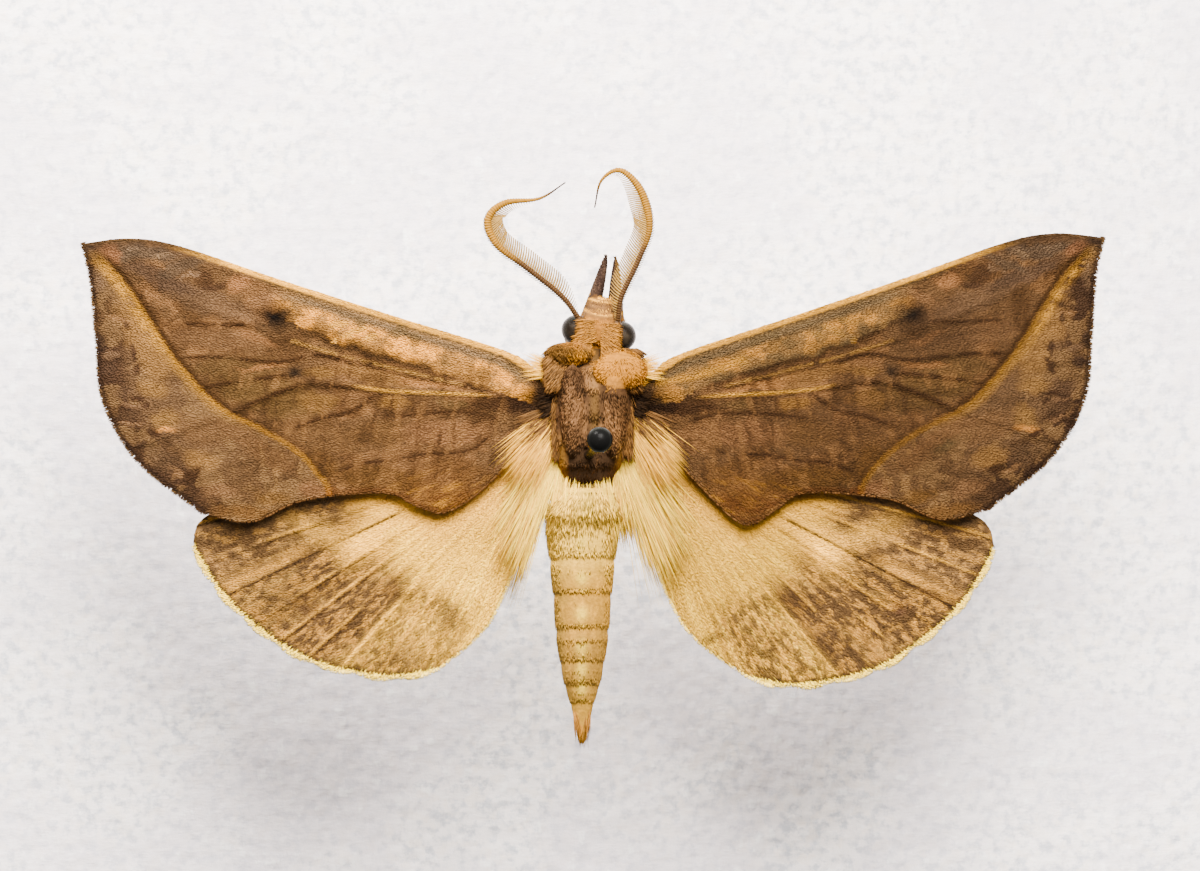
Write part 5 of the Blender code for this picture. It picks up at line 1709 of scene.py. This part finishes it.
# Each zone's coat: the spacing of its tufts, their length and width, how far they stand off, their disorder
COATS = {
    "thorax": (0.062, 0.42, 0.065, 0.05, 0.12),
    "abdomen": (0.082, 0.4, 0.075, 0.03, 0.08),
    "head": (0.05, 0.3, 0.055, 0.04, 0.09),
    "palps": (0.06, 0.24, 0.075, 0.1, 0.13),
    "collar": (0.048, 0.32, 0.055, 0.05, 0.12),
    "legs": (0.12, 0.26, 0.09, 0.22, 0.25),
}


def make_body():
    """The skin under the whole body, and the coat of each zone over it."""
    shapes = [thorax_shape(SKIN_INSET), abdomen_shape(SKIN_INSET), head_shape(0.09)]
    for side in SIDES:
        shapes += [palp_shape(side, 0.02), flap_shape(side, 0.05), tegula_shape(side, 0.12)]
        for pair in LEG_ROUTES:
            route = leg_route(pair, side)
            shapes.append(tube(route, leg_radii(len(route))))
            for spur in SPURS[pair]:
                i = round(spur * (len(route) - 1))
                run = unit((route[i + 1] - route[i - 1])[None])[0]
                way = unit((run + (SIDES[side] * 0.35, 0, -0.45))[None])[0]
                along = np.linspace(0, SPUR_LENGTH, 8)
                shapes.append(tube(route[i] + along[:, None] * way, np.linspace(0.1, 0.04, 8)))
    places, triangles, normals = remeshed(shapes)
    tints = body_tints(places, zone_of(places)) * BODY_GAIN * 0.8
    skin = make_mesh("moth_skin", places, triangles, MATERIALS["skin"], tints)
    nodes = ["head", "thorax", "abdomen", "palp_left", "palp_right"]
    nodes += [f"leg_{pair}_{side}" for pair in LEG_ROUTES for side in SIDES]
    settle(skin, nodes)

    rng = np.random.default_rng(7)
    spots, ways = sampled(places, triangles, normals, BODY_SPOTS, 0.045, rng)
    spot_zones = zone_of(spots)
    for zone, (cell, *coat) in COATS.items():
        chosen = spot_zones == zone
        roots, rises = spots[chosen], ways[chosen]
        first = one_per_cell(roots, cell)
        body_coat(zone, coat, roots[first], rises[first], rng)


def trunk_map(places):
    """An unwrap of the trunk: round its middle line, and along it."""
    x, y, z = places.T
    round_it = np.arctan2(x - body_lean(y), z - 25.5) / (2 * np.pi) + 0.5
    along = (y + 14.5) / 24.0
    return np.column_stack([round_it, along]) * 0.96 + 0.02


def leg_map(places):
    """Each leg has its own strip of the map."""
    routes = [leg_route(pair, side) for pair in LEG_ROUTES for side in SIDES]
    strips = np.concatenate([np.full(len(route), i) for i, route in enumerate(routes)])
    shares = np.concatenate([np.arange(len(route)) / len(route) for route in routes])
    bones = np.vstack(routes)
    which = nearest(places, bones)[1]
    offset = places - bones[which]
    round_it = np.arctan2(offset[:, 0], offset[:, 2]) / (2 * np.pi) + 0.5
    return np.column_stack([(strips[which] + 0.05 + 0.9 * round_it) / 6, shares[which]]) * 0.96 + 0.02


def body_coat(zone, coat, roots, rises, rng):
    """The tufts of one zone, in small clumps."""
    length, width, stand_off, disorder = coat
    count = len(roots)
    y = roots[:, 1]
    lies = lie_at(zone, roots, rises)
    sideways = np.cross(rises, lies)
    lengths = length * rng.uniform(0.7, 1.2, count)
    widths = width * rng.uniform(0.75, 1.2, count)
    lift = stand_off * rng.uniform(0.5, 1.4, count)
    swing = rng.normal(0, disorder, count)
    clump = (cloud(roots, 0.5, 401) - 0.5) * disorder * 3
    if zone == "abdomen":
        tail = step(y, -11.2, -12.6)
        lengths *= 1 - tail * 0.25
        lift *= 1 - tail * 0.8
        flank = step(np.abs(roots[:, 0] - body_lean(y)), 0.85, 1.3)
        lift += flank * 0.12 * step(y, -12.0, -10.0)
        lengths *= 1 + step(y, -5.6, -3.2) * 0.8
    ways = unit(lies + rises * lift[:, None] + sideways * (swing + clump)[:, None])
    tints = body_tints(roots, np.full(count, zone))
    lightness = rng.normal(1.0, 0.12, count)
    tints = np.clip(tints * np.clip(lightness, 0.5, 1.5)[:, None] * BODY_GAIN, 0, 1)
    tops = unit(rises - ways * np.sum(rises * ways, axis=1)[:, None])
    sizes = np.column_stack([widths, lengths, widths])
    maps = leg_map(roots) if zone == "legs" else trunk_map(roots)
    roots = roots - rises * ROOT_DEPTH
    settle(lay_coat(f"{zone}_coat", roots, ways, tops, sizes, tints, maps, "scale"))


def brush(rng, count, place, spread, way, fan, length, width, colours):
    """Hairs from round a place: the further one stands from its middle, the more it fans away."""
    offset = np.clip(rng.normal(0, 1, (count, 3)), -1.6, 1.6)
    share = rng.random(count)[:, None]
    return {
        "roots": np.array(place) + offset * spread,
        "lies": unit(np.array(way, float) + offset * fan + rng.normal(0, 0.06, (count, 3))),
        "lengths": length * rng.uniform(0.4, 1.1, count),
        "widths": width * rng.uniform(0.7, 1.2, count),
        "tints": paint(*colours[0]) * (1 - share) + paint(*colours[1]) * share,
    }


def lay_brushes(name, brushes):
    whole = {key: np.concatenate([one[key] for one in brushes]) for key in brushes[0]}
    roots, lies = whole["roots"], whole["lies"]
    rises = unit(np.array((0.0, 0.0, 1.0)) - lies * lies[:, 2:3])
    sizes = np.column_stack([whole["widths"], whole["lengths"], whole["widths"]])
    tints = np.clip(whole["tints"], 0, 1)
    settle(lay_coat(name, roots, lies, rises, sizes, tints, trunk_map(roots), "hair"))


def make_long_hairs():
    """Long hairs: a pale fan from each wing root over the hindwing, root tufts and the tail's brush."""
    rng = np.random.default_rng(17)
    # How many, their middle and its spread, their way and its fan, length, width and colours
    rows = []
    for sign in SIDES.values():
        lean = body_lean(-1.5)
        flank = (sign * 1.55 + lean, -0.7, 25.95)
        rows += [
            (2200, flank, (0.18, 0.5, 0.08), (sign * 0.47, -1.0, -0.14), (sign * 0.06, 0.2, 0.008),
             6.4, 0.034, STRAW),
            (1200, (sign * 1.3 + lean, -1.9, 25.75), (0.15, 0.4, 0.2), (sign * 0.16, -1.0, -0.04),
             (sign * 0.08, 0.06, 0.03), 2.6, 0.032, STRAW),
            (640, (sign * 1.95, 0.35, 26.18), (0.26, 0.42, 0.04), (sign * 0.75, -1.0, 0.01),
             (0.14, 0.14, 0.015), 3.1, 0.03, FAWN),
            (220, (sign * 2.1, 0.7, 26.25), (0.2, 0.3, 0.03), (sign, -0.75, 0.02),
             (0.1, 0.2, 0.015), 1.6, 0.034, UMBER),
            (800, (sign * 1.5 - 0.05, 0.7, 26.35), (0.13, 0.8, 0.14), (sign * 0.25, -1.0, -0.06),
             (0.05, 0.06, 0.04), 0.8, 0.036, SHOULDER),
            (260, (sign * 1.8, 0.75, 26.0), (0.16, 0.2, 0.1), (sign * 0.6, -1.0, 0.0),
             (0.1, 0.1, 0.03), 0.7, 0.045, UMBER),
            # Near-black tufts by the wing root: painted shade of the pit there
            (420, (sign * 1.85, 1.5, 26.3), (0.1, 0.28, 0.06), (sign, -0.35, 0.02),
             (0.05, 0.2, 0.03), 0.62, 0.045, PIT_SHADE),
            (160, (sign * 1.75, 2.1, 26.5), (0.12, 0.2, 0.08), (sign, -0.15, 0.02),
             (0.1, 0.3, 0.05), 0.42, 0.04, PIT_SHADE),
            (200, (sign * 1.85, 2.95, 26.42), (0.2, 0.16, 0.06), (sign, 0.12, -0.03),
             (0.08, 0.2, 0.03), 1.3, 0.03, FAWN),
            (300, (sign * 1.5, 3.2, 26.5), (0.2, 0.2, 0.12), (sign, 0.15, 0.0),
             (0.1, 0.3, 0.06), 0.45, 0.045, TAN),
        ]
    rows += [
        (900, (body_lean(-2.3), -2.3, 26.6), (0.6, 0.3, 0.1), (0.0, -1.0, -0.2), (0.1, 0.05, 0.04),
         2.9, 0.034, STRAW),
        (500, (-0.52, -12.0, 25.15), (0.24, 0.35, 0.2), (0.03, -1.0, 0.0), (-0.1, 0.0, -0.12),
         1.5, 0.045, TAN),
    ]
    lay_brushes("long_hairs", [brush(rng, *row) for row in rows])


def make_crest():
    """Short hairs: the head's crest, which covers the inner half of each eye, and the shoulder tufts."""
    rng = np.random.default_rng(23)
    turn = np.array(head_place())[:3, :3]
    tufts = []
    for sign in SIDES.values():
        places = from_head([(sign * 0.38, 0.75, 1.02), (sign * 0.5, 0.1, 0.97)])
        ways = np.array([(sign * 1.0, -0.3, -0.24), (sign * 0.8, -0.7, -0.12)]) @ turn.T
        tufts += [
            brush(rng, 1100, place, (0.2, 0.3, 0.03), way, (0.03, 0.12, 0.02), 0.46, 0.05, RUST)
            for place, way in zip(places, ways)
        ]
        shoulder = (sign * 1.5, 3.1, 26.85)
        tufts.append(brush(rng, 2400, shoulder, (0.26, 0.5, 0.1), (sign * 0.8, -0.9, -0.2),
                           (0.04, 0.2, 0.04), 0.62, 0.05, SHOULDER))
    lay_brushes("head_crest", tufts)


def make_eyes():
    for side, sign in SIDES.items():
        x, y, z = EYE_CENTRE
        bm = bmesh.new()
        bmesh.ops.create_icosphere(bm, subdivisions=5, radius=1.0)
        place = Matrix.Translation((sign * x, y, z)) @ Matrix.Diagonal((*EYE_RADII, 1.0))
        bmesh.ops.transform(bm, matrix=Matrix.Scale(MM, 4) @ head_place() @ place, verts=bm.verts)
        mesh = bpy.data.meshes.new(f"compound_eye_{side}")
        bm.to_mesh(mesh)
        bm.free()
        mesh.shade_smooth()
        mesh.materials.append(MATERIALS["eye"])
        settle(linked(mesh.name, mesh), [f"eye_{side}"])


def antenna_tree():
    """Geometry Nodes for an antenna: a ringed, tapering shaft with two rows of bent comb teeth."""
    sockets = [(name, "Float") for name in ("Teeth", "Shaft Radius", "Tooth Length", "Inner Side")]
    sockets.append(("Finish", "Material"))
    graph, inputs = new_tree("antenna", sockets)
    route, teeth, shaft_radius, tooth_length, inner_side, material = inputs

    def tinted(geometry, colour):
        return graph.store(geometry, "tint", "FLOAT_COLOR", "POINT", colour)

    def piped(curve, sides, thickness):
        profile = graph.add("GeometryNodeCurvePrimitiveCircle", {}, {"Resolution": sides, "Radius": 1.0})
        inputs = {"Curve": curve, "Profile Curve": profile, "Scale": thickness, "Fill Caps": True}
        return graph.add("GeometryNodeCurveToMesh", {}, inputs)

    share = graph.add("GeometryNodeSplineParameter")
    fine = graph.add("GeometryNodeResampleCurve", {}, {"Curve": route, "Count": teeth * 6})
    ringed = 1 + 0.1 * (share * teeth * 6.2832).sine()
    scape = graph.ramp(share, 0.035, 0.05, 2.0, 1.0)
    broad = graph.ramp(share, 0.35, 0.6, 1.0, 1.5) * graph.ramp(share, 0.6, 1.0, 1.0, 0.18)
    thickness = broad * ringed * scape * shaft_radius
    worn = graph.add("ShaderNodeTexNoise", {"noise_dimensions": "1D"}, {"W": share, "Scale": 7.0})
    colour = graph.blend(graph.ramp(share + worn * 0.3, 0.5, 0.66), rgba(104, 68, 36), rgba(188, 140, 56))
    colour = graph.blend(graph.ramp(share, 0.84, 0.95), colour, rgba(60, 40, 26))
    shaft = piped(tinted(fine, colour), 8, thickness)

    bend = {"Resolution": 4, "Start": (0, 0, 0), "Middle": (0.5, 0.06, 0), "End": (1.0, 0.42, 0)}
    spine = graph.add("GeometryNodeCurveQuadraticBezier", {}, bend)
    tooth = piped(spine, 4, graph.ramp(graph.add("GeometryNodeSplineParameter"), 0.0, 1.0, 0.075, 0.035))

    stops = graph.add("GeometryNodeResampleCurve", {}, {"Curve": route, "Count": teeth})
    upright = graph.add("GeometryNodeSetCurveNormal", {"mode": "Z_UP"}, {"Curve": stops})
    tangent = graph.add("GeometryNodeInputTangent")
    normal = graph.add("GeometryNodeInputNormal")
    envelope = graph.ramp(share, 0.02, 0.22, 0.15, 1.0) * graph.ramp(share, 0.55, 0.93, 1.0, 0.05)
    pieces = [shaft]
    rows = ((1.0, 0.06, 1.0, (190, 158, 110)), (-0.45, -0.9, 0.62, (132, 98, 64)))
    for across, drop, length, shade in rows:
        way = graph.moved(graph.scaled(normal, inner_side * across), (0, 0, drop))
        turn = graph.facing("X", way, "Y", tangent)
        reach = envelope * tooth_length * length
        size = graph.add("ShaderNodeCombineXYZ", {}, [reach, reach, tooth_length * 0.8])
        pieces.append(tinted(graph.laid(upright, tooth, turn, size), rgba(*shade)))
    join = graph.tree.nodes.new("GeometryNodeJoinGeometry")
    for piece in pieces:
        graph.tree.links.new(piece.socket, join.inputs[0])
    graph.finish(graph.real(Value(graph, join.outputs[0])), material)
    return graph.tree


def make_antennae():
    tree = antenna_tree()
    for side, anchors in ANTENNA_ROUTES.items():
        route = smooth_line([(x, y, ANTENNA_LEVEL + z) for x, y, z in anchors], 0.2) * MM
        curve = bpy.data.curves.new(f"antenna_{side}_route", "CURVE")
        curve.dimensions = "3D"
        spline = curve.splines.new("POLY")
        spline.points.add(len(route) - 1)
        spline.points.foreach_set("co", np.column_stack([route, np.ones(len(route))]).ravel())
        carrier = linked(curve.name, curve)
        modifier = carrier.modifiers.new("antenna", "NODES")
        modifier.node_group = tree
        set_inputs(modifier, teeth=COMB_TEETH, shaft_radius=SHAFT_RADIUS * MM, tooth_length=COMB_REACH * MM,
                   inner_side=-SIDES[side], finish=MATERIALS["horn"])
        antenna = evaluated(carrier, f"combed_antenna_{side}")
        settle(antenna, [f"antenna_{side}", f"antenna_{side}_tip"])


def make_proboscis():
    """The rolled tongue: a ringed tube wound into a disc below the face."""
    count = 260
    turn = np.radians(np.linspace(100, -560, count))
    share = np.linspace(0, 1, count)
    radius = COIL_RADIUS * (1.3 - 0.95 * share)
    route = np.column_stack([np.zeros(count), np.cos(turn) * radius, np.sin(turn) * radius]) + MOUTH_CENTRE
    radii = COIL_TUBE * (0.8 - 0.45 * share) * (1 + 0.06 * np.sin(share * 2 * np.pi * 60))
    points, faces = tube(route, radii, 12)
    tints = np.tile(paint(150, 92, 44), (len(points), 1)) * (0.8 + 0.4 * cloud(points, 0.1, 431))[:, None]
    obj = outward(make_mesh("rolled_tongue", from_head(points), faces, MATERIALS["horn"], tints))
    settle(obj, ["proboscis"])


# The stand

def make_pin():
    """A straight shaft and a round lacquered head, each turned from a profile along the pin's own lean."""
    top = THORAX_LEVEL + between(THORAX_STATIONS, PIN_ENTRY[1])[1]
    entry = Vector((*PIN_ENTRY, top))
    head = Vector((*PIN_ENTRY, PIN_TOP - PIN_HEAD_RADIUS)) + Vector((*PIN_HEAD_OFFSET, 0.0))
    lean = (head - entry).normalized()
    foot = head + lean * ((BASE_SIZE[2] - PIN_DEPTH - head.z) / lean.z)
    length = (head - foot).length
    side = lean.orthogonal().normalized()
    other = lean.cross(side)
    circle = [2 * math.pi * k / 48 for k in range(48)]

    def turned_piece(name, profile):
        rings = [
            [foot + lean * along + (side * math.cos(c) + other * math.sin(c)) * radius for c in circle]
            for along, radius in profile
        ]
        points, faces = loft(rings)
        obj = outward(make_mesh(name, points, faces, MATERIALS["lacquer"]))
        obj.data.set_sharp_from_angle(angle=math.radians(50))
        settle(obj, ["stand_pin"])

    shaft = [(0.0, 0.02), (0.8, PIN_RADIUS * 0.8), (1.2, PIN_RADIUS), (length - 0.3, PIN_RADIUS)]
    turned_piece("pin_shaft", shaft)
    neck = length - PIN_HEAD_RADIUS
    ball = [(neck - 0.16, PIN_RADIUS * 1.02), (neck - 0.1, PIN_RADIUS * 1.2)]
    for i in range(1, 30):
        turn = math.pi * (0.13 + 0.87 * i / 30)
        ball.append((length - PIN_HEAD_RADIUS * math.cos(turn), PIN_HEAD_RADIUS * math.sin(turn)))
    turned_piece("pin_head", ball)


def make_base():
    """The foam block: its top and sides as one skin with soft edges and a faintly uneven surface."""
    wide, deep, high = BASE_SIZE
    bm = bmesh.new()
    bmesh.ops.create_cube(bm, size=1.0)
    bmesh.ops.scale(bm, vec=(wide, deep, high), verts=bm.verts)
    bmesh.ops.translate(bm, vec=(0, 0, high / 2), verts=bm.verts)
    upright = [e for e in bm.edges if abs((e.verts[0].co - e.verts[1].co).z) > high / 2]
    bmesh.ops.bevel(bm, geom=upright, offset=BASE_CORNER_RADIUS, segments=16, profile=0.5, affect="EDGES")
    flat = [e for e in bm.edges if len({round(f.normal.z) for f in e.link_faces}) == 2]
    bmesh.ops.bevel(bm, geom=flat, offset=0.5, segments=5, profile=0.5, affect="EDGES")
    mesh = bpy.data.meshes.new("foam_block")
    bm.to_mesh(mesh)
    bm.free()
    obj = linked("foam_block", mesh)
    voxel_remesh(obj, BASE_STEP)
    obj = evaluated(obj, "foam_block")
    mesh = obj.data
    places = read(mesh.vertices, "co")
    normals = read(mesh.vertices, "normal")
    dent = cloud(places, 1.4, 501) * 0.12 + cloud(places, 5.0, 503) * 0.1
    rests = places[:, 2] < 0.4
    places = places - normals * np.where(rests, 0.0, dent)[:, None]
    places[rests, 2] = 0.0
    mesh.vertices.foreach_set("co", (places * MM).ravel())
    mesh.materials.append(MATERIALS["foam"])
    mesh.shade_smooth()
    mesh.update()
    settle(obj, ["stand_base"])


# Studio

def area_light(name, place, size, power):
    """A round soft light that points at the moth."""
    light = bpy.data.lights.new(name, "AREA")
    light.shape = "DISK"
    light.size = size
    light.energy = power
    light.color = LAMP_COLOUR
    obj = linked(name, light)
    obj.location = place
    obj.rotation_euler = (Vector((0, 0, 0.02)) - Vector(place)).to_track_quat("-Z", "Y").to_euler()


def make_studio():
    """A plain pale floor, a soft even light from all round, two soft lamps and the camera."""
    floor_finish = Finish("studio_floor", roughness=0.9)
    mottle = floor_finish.noise(30.0)
    floor_finish.set("Base Color", floor_finish.blend(mottle, rgba(232, 232, 234), rgba(226, 226, 230)))
    half = FLOOR_HALF
    corners = [(-half, -half, 0), (half, -half, 0), (half, half, 0), (-half, half, 0)]
    make_mesh("studio_floor", corners, [(0, 1, 2, 3)], floor_finish.material)

    world = bpy.data.worlds.new("studio")
    world.use_nodes = True
    world.node_tree.nodes["Background"].inputs["Color"].default_value = (1.0, 0.99, 0.98, 1.0)
    world.node_tree.nodes["Background"].inputs["Strength"].default_value = WORLD_STRENGTH
    bpy.context.scene.world = world
    area_light("window", WINDOW_PLACE, 0.08, WINDOW_POWER)
    area_light("fill", FILL_PLACE, 0.04, FILL_POWER)

    camera = bpy.data.cameras.new("camera")
    camera.sensor_fit = "HORIZONTAL"
    camera.sensor_width = 36.0
    camera.lens = 36.0 * CAMERA_HEIGHT / FRAME_WIDTH
    camera.clip_start = 0.01
    camera.clip_end = 10.0
    holder = linked("camera", camera)
    holder.location = Vector((CAMERA_SHIFT, 0.0, WING_LEVEL + CAMERA_HEIGHT)) * MM
    bpy.context.scene.camera = holder


WING_GAIN = 0.95
BODY_GAIN = 0.8
# How much each side's wings are dimmed: an overall tone, and on the right side painted shade as well, as
# that side lies in less light
FORE_TONE_AND_SHADE = {"left": 0.73, "right": 0.52}
# The hindwing's dims only its straw part; its lower right value is painted shade
HIND_TONE_AND_SHADE = {"left": 0.9, "right": 0.57}
WORLD_STRENGTH = 0.57
WINDOW_POWER = 1.08
WINDOW_PLACE = (0.014, 0.066, 0.12)
FILL_POWER = 0.42
FILL_PLACE = (-0.045, 0.085, 0.06)
LAMP_COLOUR = (1.0, 0.95, 0.9)

MATERIALS = {
    "scales": scale_finish(),
    "membrane": skin_finish("wing_membrane"),
    "skin": skin_finish("body_skin", 0.8),
    "horn": horn_finish(),
    "eye": eye_finish(),
    "lacquer": lacquer_finish(),
    "foam": foam_finish(),
}
VANES = {
    "scale": vane_object("scale_vane", [(0.6, 0.5)], 0.1),
    "lash": vane_object("lash_vane", [(0.7, 0.5)], 0.12),
    "hair": vane_object("hair_vane", [(0.3, 0.5), (0.7, 0.3)], 0.2),
}
COAT = coat_tree()

make_wings()
make_body()
make_long_hairs()
make_crest()
make_eyes()
make_antennae()
make_proboscis()
make_pin()
make_base()
for vane in VANES.values():
    bpy.data.objects.remove(vane)
make_studio()
